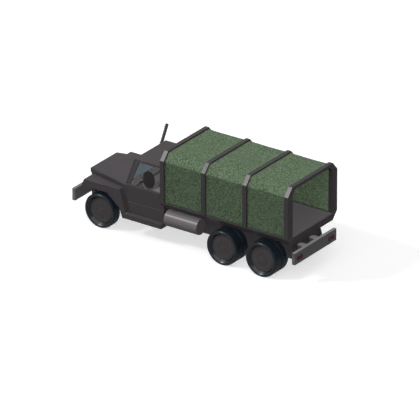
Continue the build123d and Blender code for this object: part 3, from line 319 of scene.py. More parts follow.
# bare steel on the rear bumper's top, painted much lighter for the light that falls on the top: partly
# painted light
BUMPER_TOP_PAINTED_LIGHT = brushed("bumper_top_painted_light", srgb(150, 149, 151), 0.5, 0.05, specular=0.05)
BUMPER_EDGE = brushed("bumper_edge", srgb(116, 116, 117), 0.45, 0.1, specular=0.06)
RUBBER = rubber("tyre_rubber", srgb(15, 24, 31), 0.28, 0.19)
TREAD = rubber("tyre_tread", srgb(24, 33, 42), 0.5, 0.11)
WHEEL = paint("wheel_paint", srgb(80, 77, 78), dust=0.2, roughness=0.55)
# a little darker than the wheel paint to damp the light their faces catch: painted shade
NUTS = paint("wheel_nuts", srgb(74, 71, 72), dust=0.3, roughness=0.6, specular=0.01)
TANK = brushed("tank_metal", srgb(122, 118, 120), 0.34, 0.03, specular=0.02)
# the pale tint on the panes' inward faces is a painted reflection of the sky
WINDOW = glass("window_glass", srgb(190, 225, 255), milky=0.28)
WINDOW_OUTSIDE = glass("window_glass_outside", srgb(112, 126, 140))
LAMP_RED = lens("lamp_red", srgb(80, 27, 27), 0.4)
LAMP_CLEAR = lens("lamp_clear", srgb(186, 190, 192), 0.1)
LAMP_RIM = brushed("lamp_rim", srgb(66, 38, 38), 0.45, 0.05, specular=0.05)
SEAT = cloth("seat_cloth", srgb(118, 117, 110))
SEAT_SEAM = cloth("seat_piping", srgb(92, 91, 84))
DASH = plastic("dash_plastic", srgb(116, 112, 106))
BLACK = plastic("black_rubber", srgb(56, 54, 55))
DIAL = plastic("dial_face", srgb(186, 186, 178), 0.35)
IRON = rusty("iron", srgb(58, 55, 54), 0.5)
STACK = rusty("stack_steel", srgb(92, 88, 88), 0.2)


# ---- making pieces ----
def extent(box):
    """A box's low and high corners as vectors."""
    return Vector(box[0]), Vector(box[1])


def middle_of(box):
    return [(low + high) / 2 for low, high in zip(*box)]


def show(name, data):
    """Links a mesh, lamp or camera into the scene as an object."""
    shown = bpy.data.objects.new(name, data)
    bpy.context.collection.objects.link(shown)
    return shown


def as_mesh(name, mesh, material):
    """Turns a bmesh into mesh data with one material."""
    data = bpy.data.meshes.new(name)
    mesh.normal_update()
    mesh.to_mesh(data)
    mesh.free()
    data.materials.append(material)
    return data


def piece(name, mesh, material, body="truck", stands_for=(), smooth=False):
    """Shows a bmesh as a piece that rides on a body."""
    shown = show(name, as_mesh(name, mesh, material))
    if smooth:
        shown.data.shade_smooth()
    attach(shown, body)
    if stands_for:
        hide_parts(*stands_for)
    return shown


def block(mesh, corner, opposite, edge):
    """Adds a box with rounded edges between two opposite corners."""
    low, high = Vector(map(min, corner, opposite)), Vector(map(max, corner, opposite))
    place = Matrix.Translation((low + high) / 2) @ Matrix.Diagonal((*(high - low), 1))
    made = bmesh.ops.create_cube(mesh, size=1, matrix=place)
    if edge:
        edges = list(dict.fromkeys(e for v in made["verts"] for e in v.link_edges))
        bmesh.ops.bevel(mesh, geom=edges, offset=edge, segments=2, profile=0.5, affect="EDGES")


def join(mesh, rings, closed=False):
    """Adds and gives the faces between rings of vertices."""
    faces = []
    for low, high in zip(rings, rings[1:] + rings[:1] * closed):
        for i in range(len(low)):
            j = (i + 1) % len(low)
            faces.append(mesh.faces.new((low[i], low[j], high[j], high[i])))
    return faces


def lathe(mesh, profile, place, steps, closed=False):
    """Adds a turned form: the profile holds (radius, distance along local Z)."""
    angles = [2 * math.pi * i / steps for i in range(steps)]
    rings = []
    for radius, out in profile:
        rings.append([mesh.verts.new(place @ Vector((radius * math.cos(a), radius * math.sin(a), out)))
                      for a in angles])
    join(mesh, rings, closed)
    if not closed:
        mesh.faces.new(rings[0][::-1])
        mesh.faces.new(rings[-1])


def along(axis, at):
    """A place whose local Z points along an axis."""
    turn = Vector(axis).to_track_quat("Z", "Y").to_matrix().to_4x4()
    return Matrix.Translation(at) @ turn


def tube(mesh, start, end, radius, steps=16):
    """Adds a round bar with slightly rounded ends."""
    start, end = Vector(start), Vector(end)
    length = (end - start).length
    soft = min(radius, length) * 0.15
    profile = [(radius - soft, 0), (radius, soft), (radius, length - soft), (radius - soft, length)]
    lathe(mesh, profile, along(end - start, start), steps)


def bolt(mesh, place, across, height):
    """Adds a hexagonal bolt head with its washer and a chamfered top."""
    radius = across / math.sqrt(3)
    lathe(mesh, [(radius * 1.25, 0), (radius * 1.25, height * 0.18), (radius, height * 0.2),
                 (radius, height * 0.8), (radius * 0.8, height)], place, 6)


def moved(mesh, start, place):
    """Moves the vertices added since start to a place."""
    mesh.verts.ensure_lookup_table()
    bmesh.ops.transform(mesh, matrix=place, verts=mesh.verts[start:])


# ---- sheet metal ----
WELD_WITHIN = 0.0002
SHARP = math.radians(35)  # edges that turn by more than this are rounded
SOFTENED = [  # paint, paint on the edges, nodes and the radius of their edges
    (CHASSIS, CHASSIS_EDGE, {"chassis_rails": 0.006, "chassis_cross_members": 0.004, "bed_bearers": 0.005}),
    (PAINT, PAINT_EDGE, {"bed_rails": 0.006, "headboard": 0.004, "cab_back": 0.005, "cab_roof": 0.006,
                         "hood": 0.004, "front_fenders": 0.005, "radiator_shell": 0.004}),
    (PAINT, PAINT, {"cab_floor": 0.003, "cowl": 0.003, "door_left": 0.003, "door_right": 0.003}),
    (SKIRT_PAINTED_LIGHT, SKIRT_PAINTED_LIGHT, {"chassis_skirts": 0.002}),
    (ARCH_PAINTED_LIGHT, ARCH_PAINTED_LIGHT, {"inner_fenders": 0.003}),
    (DECK_PAINTED_LIGHT, PAINT_EDGE, {"bed_floor": 0.003}),
    (BOW_PAINT, BOW_EDGE, {"cargo_bows": 0.008}),
    (FRONT_BUMPER_PAINTED_LIGHT, BUMPER_EDGE, {"front_bumper": 0.005}),
    (BUMPER, BUMPER_EDGE, {"rear_bumper": 0.004}),
    (DASH, DASH, {"dashboard": 0.008}),
    (IRON, IRON, {"engine": 0.020}),
]
PLAIN = [
    (TANK, ["fuel_tanks"]), (WINDOW, ["windows"]), (STACK, ["exhaust_stack"]), (BLACK, ["steering_wheel"]),
    (IRON, ["driveline", "front_axle", "rear_axles", "leaf_springs"]),
    (IRON, ["tie_rod", "knuckle_left", "knuckle_right"]),
    (WHEEL, [f"wheel_{axle}_{side}" for axle in AXLES for side, _ in SIDES]),
]


def dress(node, *materials):
    """Gives a CAD node its materials, in the order of its slots."""
    shown = nodes[node]
    shown.data.materials.clear()
    for material in materials:
        shown.data.materials.append(material)
    return shown


def soften(node, radius, material, edge_material):
    """Gives a CAD node its paint and rounds its edges, which carry the edge material."""
    shown = dress(node, material, edge_material)
    weld = shown.modifiers.new("weld", "WELD")
    weld.merge_threshold = WELD_WITHIN
    bevel = shown.modifiers.new("rounded_edges", "BEVEL")
    bevel.width = radius
    bevel.segments = 2
    bevel.limit_method = "ANGLE"
    bevel.angle_limit = SHARP
    bevel.use_clamp_overlap = True
    bevel.material = 1
    normals = shown.modifiers.new("even_normals", "WEIGHTED_NORMAL")
    normals.keep_sharp = True


for material, edge_material, radii in SOFTENED:
    for name, radius in radii.items():
        soften(name, radius, material, edge_material)
for material, names in PLAIN:
    for name in names:
        dress(name, material)


def line_with(node, material, wanted):
    """Gives a CAD node's chosen flat faces another material; wanted(normal, middle) says which."""
    data = nodes[node].data
    data.materials.append(material)
    for face in data.polygons:
        if wanted(face.normal, face.center):
            face.material_index = len(data.materials) - 1


INSIDE_Y = 0.9  # what lies within the door openings
FIREWALL_X = extent(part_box("cab_floor"))[1].x - 0.035  # just ahead of the firewall's face in the cab
FIREWALL_TOP_Z = 1.6
FLOOR_Z = (1.0, 1.1)  # the floor's top lies between these
DOOR_PAINTED_LIGHT_Z = 1.57
DASH_FRONT_X = 1.85
WINDSHIELD_X = 1.5  # the windshield lies ahead of this, the rear window behind it

# the cab's inward faces and the dashboard's back get the pale copy: painted light for the shade in the cab
line_with("cowl", INSIDE_PAINTED_LIGHT, lambda way, at: way.x < -0.9 and at.x < FIREWALL_X and at.z < FIREWALL_TOP_Z
          and abs(at.y) < INSIDE_Y)
line_with("cab_back", INSIDE_PAINTED_LIGHT, lambda way, at: way.x > 0.9 and abs(at.y) < INSIDE_Y)
line_with("cab_floor", MAT, lambda way, at: way.z > 0.9 and FLOOR_Z[0] < at.z < FLOOR_Z[1]
          and abs(at.y) < INSIDE_Y)
for side, sign in SIDES:
    line_with(f"door_{side}", INSIDE_PAINTED_LIGHT, lambda way, at: way.y * sign < -0.9 and at.z < DOOR_PAINTED_LIGHT_Z)
# the outward faces get the plain tint; the inward faces keep the pale pane with its painted reflection
line_with("windows", WINDOW_OUTSIDE, lambda way, at: way.x > 0.5 if at.x > WINDSHIELD_X else way.x < -0.5)
# the rear bumper's upward faces get the lighter copy: painted light on the top
line_with("rear_bumper", BUMPER_TOP_PAINTED_LIGHT, lambda way, at: way.z > 0.9)
line_with("dashboard", INSIDE_PAINTED_LIGHT, lambda way, at: way.x < -0.3 and at.x > DASH_FRONT_X)


# ---- wheels and tyres ----
TYRE_HALF = 0.155  # half a tyre's width
DISC_FACE = 0.065  # middle of a tyre out to the wheel disc's face and its rim's edge
LUGS = 44  # to each half of the tread
LUG_HALVES = (0.40, 0.36)  # half a lug's width in pitches, at its foot and at its top
LUG_FOOT_R = 0.522  # below this a lug has its foot's width
SIDEWALL = [(0.3805, 0.0660), (0.3925, 0.0800), (0.4060, 0.0958), (0.4195, 0.1116), (0.4330, 0.1274),
            (0.4455, 0.1418), (0.4540, 0.1495), (0.4640, 0.1537), (0.4780, 0.1550), (0.4940, 0.1545),
            (0.5060, 0.1510), (0.5150, 0.1440), (0.5195, 0.1320), (0.5205, 0.1200)]  # radius, out
CASING = SIDEWALL + [(radius, -out) for radius, out in SIDEWALL[::-1]]
LUG = [(0.5000, 0.1400), (0.5120, 0.1450), (0.5240, 0.1385), (0.5335, 0.1230), (0.5350, 0.1100),
       (0.5350, 0.0090), (0.5190, 0.0090), (0.5190, 0.1200)]
WHEEL_BOLTS = (18, 0.344, 0.016, 0.008)  # count, circle's radius, size across flats, height
WHEEL_NUTS = (10, 0.1675, 0.034, 0.022)
WHEEL_TRIMS = [  # rolled edge, rib and hub's collar: radius, height over the disc
    [(0.362, -0.002), (0.3655, 0.004), (0.371, 0.005), (0.3765, 0.004), (0.3795, -0.002)],
    [(0.296, -0.002), (0.301, 0.004), (0.312, 0.005), (0.318, -0.002)],
    [(0.058, -0.002), (0.062, 0.012), (0.068, 0.014), (0.073, 0.012), (0.079, -0.002)],
]


def tyre_lugs(mesh, middle):
    """Adds the tread: staggered bars that run down over both shoulders."""
    pitch = 2 * math.pi / LUGS
    for side in SIGNS:
        for i in range(LUGS):
            turn = (i + side * 0.25) * pitch
            rims = []
            for way in (-1, 1):
                rim = []
                for radius, out in LUG:
                    angle = turn + way * LUG_HALVES[radius >= LUG_FOOT_R] * pitch
                    point = Vector((radius * math.sin(angle), side * out, -radius * math.cos(angle)))
                    rim.append(mesh.verts.new(Vector(middle) + point))
                rims.append(rim)
            faces = [mesh.faces.new(rims[0]), mesh.faces.new(rims[1][::-1])] + join(mesh, rims[::-1])
            if side < 0:
                bmesh.ops.reverse_faces(mesh, faces=faces)


def circle_of(mesh, middle, side, row):
    """Adds a circle of nuts or bolts on a wheel disc."""
    count, circle, across_flats, height = row
    for i in range(count):
        angle = 2 * math.pi * (i + 0.5) / count
        at = (middle[0] + circle * math.sin(angle), middle[1], middle[2] + circle * math.cos(angle))
        bolt(mesh, along((0, side, 0), at), across_flats, height)


for axle in AXLES:
    for side, sign in SIDES:
        name = f"{axle}_{side}"
        body = f"wheel_{name}"
        low, high = extent(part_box(f"tyre_{name}"))
        middles = (high.y - TYRE_HALF, low.y + TYRE_HALF)[::sign]
        casing, tread, trim, nuts = bmesh.new(), bmesh.new(), bmesh.new(), bmesh.new()
        for y in middles[:1] if axle == "front" else middles:
            middle = ((low.x + high.x) / 2, y, (low.z + high.z) / 2)
            lathe(casing, CASING, along((0, 1, 0), middle), 96, closed=True)
            tyre_lugs(tread, middle)
            for profile in WHEEL_TRIMS:
                lathe(trim, [(radius, DISC_FACE + rise) for radius, rise in profile],
                      along((0, sign, 0), middle), 72, closed=True)
            face = (middle[0], y + sign * (DISC_FACE - 0.001), middle[2])
            circle_of(nuts, face, sign, WHEEL_BOLTS)
            circle_of(nuts, face, sign, WHEEL_NUTS)
        piece(f"tyre_casing_{name}", casing, RUBBER, body, [f"tyre_{name}"], smooth=True)
        piece(f"tyre_tread_{name}", tread, TREAD, body)
        piece(f"wheel_trim_{name}", trim, WHEEL, body, smooth=True)
        piece(f"wheel_nuts_{name}", nuts, NUTS, body)


# ---- canvas ----
BOW_WIDTH = 0.1365
BOW_COUNT = 4
BAY_GAP = 0.002  # between a sheet and the bow beside it
SKIN = [(1.2025, 1.454), (1.2025, 2.7428), (0.9968, 2.9710)]  # outer skin, left half, (y, z)
LINING_EDGE = [(1.0015, 1.454), (1.0015, 2.7674), (0.8707, 2.9125)]
SHEET_THICKNESS = 0.003
CREASE = 0.045  # radius of the canvas over a corner of the hoops
CREASE_STEPS = 4
CANVAS_CELL = 0.04
CALM_END = 0.18  # the cloth lies flat at the rails and moves fully from here on
CREASING = 0.0012  # height of the small creases

bed_low, bed_high = extent(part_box("cargo_bows"))
bow_run = bed_high.x - BOW_WIDTH - bed_low.x
bow_starts = [bed_low.x + bow_run * i / (BOW_COUNT - 1) for i in range(BOW_COUNT)]
bays = [(rear + BOW_WIDTH + BAY_GAP, front - BAY_GAP) for rear, front in zip(bow_starts, bow_starts[1:])]


def rounded(points):
    """Points about a cell apart along an open outline, with its corners turned."""
    points = [Vector(p) for p in points]
    legs = [points[0]]
    for before, corner, after in zip(points, points[1:], points[2:]):
        way_in, way_out = (before - corner).normalized(), (after - corner).normalized()
        reach = CREASE / math.tan(way_in.angle(way_out) / 2)
        start, end = corner + way_in * reach, corner + way_out * reach
        for step in range(CREASE_STEPS + 1):
            t = step / CREASE_STEPS
            legs.append(start.lerp(corner, t).lerp(corner.lerp(end, t), t))
    legs.append(points[-1])
    path = [legs[0]]
    for a, b in zip(legs, legs[1:]):
        count = max(1, round((b - a).length / CANVAS_CELL))
        path += [a.lerp(b, i / count) for i in range(1, count + 1)]
    return path


def hung(name, outline, bay, slack, material, seed, stands_for=()):
    """One sheet stretched from the bed's left side over the hoops to its right side."""
    path = rounded(outline + [(-y, z) for y, z in outline[::-1]])
    lengths = [0.0]
    for a, b in zip(path, path[1:]):
        lengths.append(lengths[-1] + (b - a).length)
    total = lengths[-1]
    columns = round((bay[1] - bay[0]) / CANVAS_CELL)
    mesh = bmesh.new()
    rows = []
    for i in range(columns + 1):
        u = i / columns
        x = bay[0] + (bay[1] - bay[0]) * u
        held = math.sin(math.pi * u)
        row = []
        for k, (point, s) in enumerate(zip(path, lengths)):
            before, after = path[max(k - 1, 0)], path[min(k + 1, len(path) - 1)]
            run = (after - before).normalized()
            out = Vector((run.y, -run.x))  # away from the load space
            ends = min(1.0, min(s, total - s) / CALM_END)
            flat = Vector((x * 1.3, s * 0.9, seed))
            fold = noise.noise(flat * 1.1) + 0.5 * noise.noise(Vector((x * 5, s * 1.6, seed + 4)))
            crease = noise.noise(Vector((x * 11 + s * 2.4, s * 7, seed + 9)))
            shift = (-slack * held + slack * 0.45 * fold * held + CREASING * crease * held) * ends
            row.append(mesh.verts.new((x, point.x + out.x * shift, point.y + out.y * shift)))
        rows.append(row)
    for a, b in zip(rows, rows[1:]):
        for k in range(len(path) - 1):
            mesh.faces.new((a[k], b[k], b[k + 1], a[k + 1]))
    bmesh.ops.recalc_face_normals(mesh, faces=mesh.faces)
    shown = piece(name, mesh, material, stands_for=stands_for, smooth=True)
    thick = shown.modifiers.new("thickness", "SOLIDIFY")
    thick.thickness = SHEET_THICKNESS
    thick.offset = 0


for number, bay in enumerate(bays):
    replaced = ["canvas_cover"] if number == 0 else []
    hung(f"canvas_skin_{number + 1}", SKIN, bay, 0.007, CANVAS, number * 7.3, replaced)
    hung(f"canvas_lining_{number + 1}", LINING_EDGE, bay, 0.004, LINING, number * 5.1 + 40)


# ---- seats ----
PAD_VOXEL = 0.014
PAD_SHRINK = 0.014  # a pad starts this much inside its space and swells into it
PAD_CORNER = 0.02
PAD_FRAMES = 18
PAD_PRESSURE = 4
SEAT_Y = 0.43
SEAT_HALF = 0.24
SEAT_X = (1.0485, 1.4985)
SEAT_Z = (1.272, 1.4)
SEAT_SEAMS = (0.012, 0.02)  # below the cushion's top edge, above its lower edge
BACK_FOOT_X = (0.9266, 1.0465)  # a backrest's rear and front at its foot
BACK_TOP_X = (0.8367, 0.9566)
BACK_Z = (1.272, 1.98)
CORD_R = 0.004
CORD_RISE = 0.001  # a cord's middle over the pad's surface


def freeze(shown):
    """Makes an object's modifiers its own mesh."""
    graph = bpy.context.evaluated_depsgraph_get()
    graph.update()
    made = bpy.data.meshes.new_from_object(shown.evaluated_get(graph))
    shown.modifiers.clear()
    old = shown.data
    shown.data = made
    made.name = shown.name
    bpy.data.meshes.remove(old)


def pad(name, corners, stands_for=()):
    """A stuffed seat pad in the space of eight corners: four below, then four above them."""
    mesh = bmesh.new()
    middle = sum((Vector(c) for c in corners), Vector()) / 8
    verts = []
    for corner in corners:
        inward = middle - Vector(corner)
        step = Vector([math.copysign(min(abs(value), PAD_SHRINK), value) for value in inward])
        verts.append(mesh.verts.new(Vector(corner) + step))
    for loop in ((3, 2, 1, 0), (4, 5, 6, 7), (0, 1, 5, 4), (1, 2, 6, 5), (2, 3, 7, 6), (3, 0, 4, 7)):
        mesh.faces.new([verts[i] for i in loop])
    bmesh.ops.bevel(mesh, geom=mesh.edges[:], offset=PAD_CORNER, segments=3, profile=0.5, affect="EDGES")
    shown = piece(name, mesh, SEAT, stands_for=stands_for, smooth=True)
    bpy.context.view_layer.objects.active = shown
    remesh = shown.modifiers.new("remesh", "REMESH")
    remesh.mode = "VOXEL"
    remesh.voxel_size = PAD_VOXEL
    freeze(shown)
    start = [v.co.copy() for v in shown.data.vertices]
    swell = shown.modifiers.new("swell", "CLOTH")
    swell.settings.use_pressure = True
    swell.settings.uniform_pressure_force = PAD_PRESSURE
    swell.settings.effector_weights.gravity = 0
    swell.point_cache.frame_start = 1
    swell.point_cache.frame_end = PAD_FRAMES
    for step in range(1, PAD_FRAMES + 1):
        bpy.context.scene.frame_set(step)
    freeze(shown)
    bpy.context.scene.frame_set(1)
    for vertex, was in zip(shown.data.vertices, start):
        moved_by = vertex.co - was
        if moved_by.length > PAD_SHRINK:
            vertex.co = was + moved_by.normalized() * PAD_SHRINK
    shown.modifiers.new("smoothing", "SUBSURF").levels = 1
    freeze(shown)
    shown.data.shade_smooth()
    return shown


def seam_on(mesh, shown, quad, count=28, steps=8):
    """Adds a closed round cord laid on a pad's surface along a four-cornered loop."""
    data = shown.data
    tree = BVHTree.FromPolygons([v.co for v in data.vertices], [p.vertices for p in data.polygons])
    quad = [Vector(c) for c in quad]
    points = []
    for a, b in zip(quad, quad[1:] + quad[:1]):
        for i in range(count):
            at, normal = tree.find_nearest(a.lerp(b, i / count))[:2]
            points.append(at + normal * CORD_RISE)
    rings = []
    for i, point in enumerate(points):
        run = (points[(i + 1) % len(points)] - points[i - 1]).normalized()
        side = run.cross(Vector((0.3, 0.2, 1))).normalized()
        rise = run.cross(side)
        rings.append([mesh.verts.new(point + (side * math.cos(a) + rise * math.sin(a)) * CORD_R)
                      for a in (2 * math.pi * k / steps for k in range(steps))])
    join(mesh, rings, closed=True)


def level(x, y, z):
    """The four corners of a level rectangle, from its rear right one."""
    return [(x[0], y[0], z), (x[1], y[0], z), (x[1], y[1], z), (x[0], y[1], z)]


seam_mesh = bmesh.new()
for side, sign in SIDES:
    y = (sign * SEAT_Y - SEAT_HALF, sign * SEAT_Y + SEAT_HALF)
    base = pad(f"seat_base_{side}", level(SEAT_X, y, SEAT_Z[0]) + level(SEAT_X, y, SEAT_Z[1]),
               ["seats"] if sign > 0 else [])
    for z in (SEAT_Z[1] - SEAT_SEAMS[0], SEAT_Z[0] + SEAT_SEAMS[1]):
        seam_on(seam_mesh, base, level(SEAT_X, y, z))
    back = pad(f"seat_back_{side}", level(BACK_FOOT_X, y, BACK_Z[0]) + level(BACK_TOP_X, y, BACK_Z[1]))
    for foot, top in zip(BACK_FOOT_X, BACK_TOP_X):
        seam_on(seam_mesh, back, [(foot, y[0], BACK_Z[0]), (foot, y[1], BACK_Z[0]),
                                  (top, y[1], BACK_Z[1]), (top, y[0], BACK_Z[1])])
piece("seat_piping", seam_mesh, SEAT_SEAM, smooth=True)


# ---- lamps ----
TAIL_LAMP_Y = (0.87, 0.719)
TAIL_LENS = [(0.071, 0.0), (0.071, 0.006), (0.064, 0.0095), (0.044, 0.0115), (0.012, 0.012)]
TAIL_RIM = [(0.0705, 0.0), (0.0705, 0.0085), (0.072, 0.0105), (0.0738, 0.01), (0.0748, 0.007),
            (0.075, 0.0)]
TAIL_SCREW = [(0.0045, 0.0), (0.0045, 0.002), (0.003, 0.0032)]
TAIL_SCREW_CIRCLE = 0.065
TAIL_SCREW_OUT = 0.007
HEADLAMP_Y = 0.93
HEAD_LENS = [(0.066, 0.058), (0.066, 0.062), (0.058, 0.07), (0.04, 0.0765), (0.014, 0.0795)]
HEAD_SHELL = [(0.052, 0.0), (0.064, 0.012), (0.073, 0.034), (0.0765, 0.052), (0.078, 0.06),
              (0.078, 0.068), (0.0735, 0.0735), (0.0675, 0.0715), (0.0655, 0.064), (0.0655, 0.056),
              (0.05, 0.03), (0.03, 0.01)]

low, high = extent(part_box("tail_lamps"))
tail_x, tail_z = high.x, (low.z + high.z) / 2
lenses, rims = bmesh.new(), bmesh.new()
for sign in SIGNS:
    for y in TAIL_LAMP_Y:
        place = along((-1, 0, 0), (tail_x, sign * y, tail_z))
        lathe(lenses, TAIL_LENS, place, 40)
        lathe(rims, TAIL_RIM, place, 40, closed=True)
        for angle in (math.pi / 4, math.pi * 5 / 4):
            at = (tail_x - TAIL_SCREW_OUT, sign * y + TAIL_SCREW_CIRCLE * math.cos(angle),
                  tail_z + TAIL_SCREW_CIRCLE * math.sin(angle))
            lathe(rims, TAIL_SCREW, along((-1, 0, 0), at), 10)
piece("tail_lamp_lenses", lenses, LAMP_RED, stands_for=["tail_lamps"], smooth=True)
piece("tail_lamp_rims", rims, LAMP_RIM, smooth=True)

low, high = extent(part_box("headlamps"))
lenses, rims = bmesh.new(), bmesh.new()
for sign in SIGNS:
    place = along((1, 0, 0), (low.x, sign * HEADLAMP_Y, (low.z + high.z) / 2))
    lathe(lenses, HEAD_LENS, place, 48)
    lathe(rims, HEAD_SHELL, place, 48, closed=True)
piece("headlamp_lenses", lenses, LAMP_CLEAR, stands_for=["headlamps"], smooth=True)
piece("headlamp_bezels", rims, LAMP_RIM, smooth=True)


# ---- cab fittings ----
DASH_X = 1.9185
DASH_Z = (1.495, 1.555)
GAUGES = [(0.56, 0.02), (0.5, 0.026), (0.435, 0.02), (0.38, 0.02), (0.325, 0.02)]  # y, radius
GAUGE_PANEL = (0.27, 0.61)  # across
TRIM_STRIP = (-0.86, 0.2)
TRIM_STRIP_UP = (0.018, 0.034)  # over the dashboard's lower edge
SWITCHES = (0.16, 0.12, 0.08, -0.3, -0.36)
SWITCH = [(0.006, 0.0), (0.006, 0.008), (0.011, 0.01), (0.011, 0.02), (0.008, 0.023)]
VENTS = (-0.72, -0.42, -0.12, 0.18, 0.48)
VENT_X = (2.01, 2.03)
VENT_LENGTH = 0.27
PEDALS = [(0.52, 0.07), (0.4, 0.07), (0.29, 0.05)]  # y, width
PEDAL_AT = (2.02, 1.2)  # x, z
LEVERS = [  # foot, top, knob's radius
    ((1.62, 0.06, 1.058), (1.53, 0.1, 1.52), 0.026),
    ((1.58, -0.06, 1.058), (1.55, -0.08, 1.38), 0.02),
    ((1.6, 0.17, 1.058), (1.5, 0.18, 1.4), 0.018),
]
LEVER_BOOT = [(0.06, 0.0), (0.058, 0.012), (0.034, 0.03), (0.018, 0.07), (0.012, 0.075)]
LEVER_BOOT_Z = 1.06


def dashboard_fittings():
    """Gauges on their panel, a trim strip, switches, and the vents under the windshield."""
    panel, dials, needles = bmesh.new(), bmesh.new(), bmesh.new()
    face, (low, high) = DASH_X, DASH_Z
    block(panel, (face - 0.004, GAUGE_PANEL[0], low + 0.004),
          (face + 0.002, GAUGE_PANEL[1], high - 0.004), 0.003)
    block(panel, (face - 0.003, TRIM_STRIP[0], low + TRIM_STRIP_UP[0]),
          (face + 0.002, TRIM_STRIP[1], low + TRIM_STRIP_UP[1]), 0.003)
    for y, radius in GAUGES:
        x, z, inner = face - 0.004, (low + high) / 2, radius * 0.88
        place = along((-1, 0, 0), (x, y, z))
        lathe(panel, [(inner, 0.0), (inner, 0.005), (radius, 0.006), (radius, 0.0)], place, 28, closed=True)
        lathe(dials, [(inner, 0.0), (radius * 0.86, 0.0015)], place, 28)
        block(needles, (x - 0.003, y - 0.0012, z - radius * 0.1),
              (x - 0.0018, y + 0.0012, z + radius * 0.7), 0)
    for y in SWITCHES:
        lathe(panel, SWITCH, along((-1, 0, 0), (face, y, high - 0.018)), 16)
    for y in VENTS:
        block(panel, (VENT_X[0], y, high - 0.003), (VENT_X[1], y + VENT_LENGTH, high + 0.0015), 0.001)
    piece("dash_panel", panel, BLACK)
    piece("dash_dials", dials, DIAL)
    piece("dash_needles", needles, BLACK)


def cab_controls():
    """Pedals, gear lever, hand brake and transfer lever on the floor."""
    mesh = bmesh.new()
    for y, width in PEDALS:
        foot = Vector((PEDAL_AT[0], y, PEDAL_AT[1]))
        start = len(mesh.verts)
        block(mesh, (-0.05, -width / 2, 0), (0.05, width / 2, 0.014), 0.004)
        moved(mesh, start, along((-0.75, 0, 0.66), foot))
        tube(mesh, foot + Vector((0.01, 0, -0.005)), foot + Vector((0.085, 0, 0.14)), 0.011, 10)
    for start, end, knob in LEVERS:
        tube(mesh, start, end, 0.0095, 12)
        lathe(mesh, [(0.01, -0.004), (knob * 0.8, 0.004), (knob, knob), (knob * 0.75, knob * 1.7),
                     (knob * 0.2, knob * 2)], along(Vector(end) - Vector(start), end), 18)
        lathe(mesh, LEVER_BOOT, along((0, 0, 1), (start[0], start[1], LEVER_BOOT_Z)), 20)
    piece("cab_controls", mesh, BLACK, smooth=True)


dashboard_fittings()
cab_controls()


# ---- fittings ----
STEP_X = (0.82, 1.41)  # rear ends of the two treads on each step
STEP_Y = (0.868, 1.148)
STEP_LENGTH = 0.54
STEP_Z = (0.6985, 0.7035, 0.7075)  # a tread's underside, its top and the top of its bars
STEP_BARS = (9, 0.045, 0.056, 0.022)  # count, start, pitch and width
DOOR_FACE_Y = 1.02
HINGE_Z = (1.18, 1.46)
HINGE_BOLT_X = (1.955, 1.995, 2.035)
HOOD_HALVES = (1.006, 0.652)  # half the hood's width at its rear and at its nose
LATCH_X = (2.52, 3.22)
LATCH_Z = 1.5
BEAD_AT = (2.93, 0.5)
BEAD_HALF = 0.53
SPRING_Y = 0.43
U_BOLT = (0.046, 0.01)  # half its width, bar's radius
SPRING_LEAVES = 5
LEAF_EDGE = 0.035  # from a spring's middle out to the edge of its leaves
SHAFT_COVER = [(0.15, -0.02), (0.142, 0.02), (0.1, 0.04), (0.06, 0.06), (0.052, 0.08), (0.052, 0.15)]
COVER_BOLTS = (10, 0.128)  # count, circle's radius
TANK_X = (-0.1, 0.34)
TANK_Y = 0.29
TANK_Z = 0.64
AIR_TANK = [(0.05, -0.165), (0.082, -0.145), (0.095, -0.115), (0.095, 0.115), (0.082, 0.145), (0.05, 0.165)]
TANK_BAND = [(0.0955, -0.012), (0.098, -0.01), (0.098, 0.01), (0.0955, 0.012)]
STACK_FOOT = (2.5005, -1.058, 1.43)
STACK_LEAN = math.radians(17)
CLAMPS_UP = (0.3, 0.62, 1.18)  # over the stack's foot
CLAMP = [(0.0485, -0.014), (0.0515, -0.012), (0.0515, 0.012), (0.0485, 0.014)]
PANE_FOOT = (2.1485, 1.575)  # x, z of the windshield's lower edge
PANE_RUN = (-0.185, 0, 0.765)  # from there to its upper edge
WIPER_Y = 0.6
BOW_FACE_Y = 1.0005
BOW_BOLT_IN = 0.035  # from a bow's edge
BOW_BOLT_Z = (1.5, 1.56)
BOARDS = 9


def step_treads():
    """Two raised plates with bars across them on each step."""
    mesh = bmesh.new()
    count, start, pitch, width = STEP_BARS
    for sign in SIGNS:
        for x in STEP_X:
            block(mesh, (x, sign * STEP_Y[0], STEP_Z[0]),
                  (x + STEP_LENGTH, sign * STEP_Y[1], STEP_Z[1]), 0.002)
            for i in range(count):
                at = x + start + i * pitch
                block(mesh, (at, sign * (STEP_Y[0] + 0.02), STEP_Z[1] - 0.0005),
                      (at + width, sign * (STEP_Y[1] - 0.02), STEP_Z[2]), 0.0015)
    piece("step_treads", mesh, PAINT)


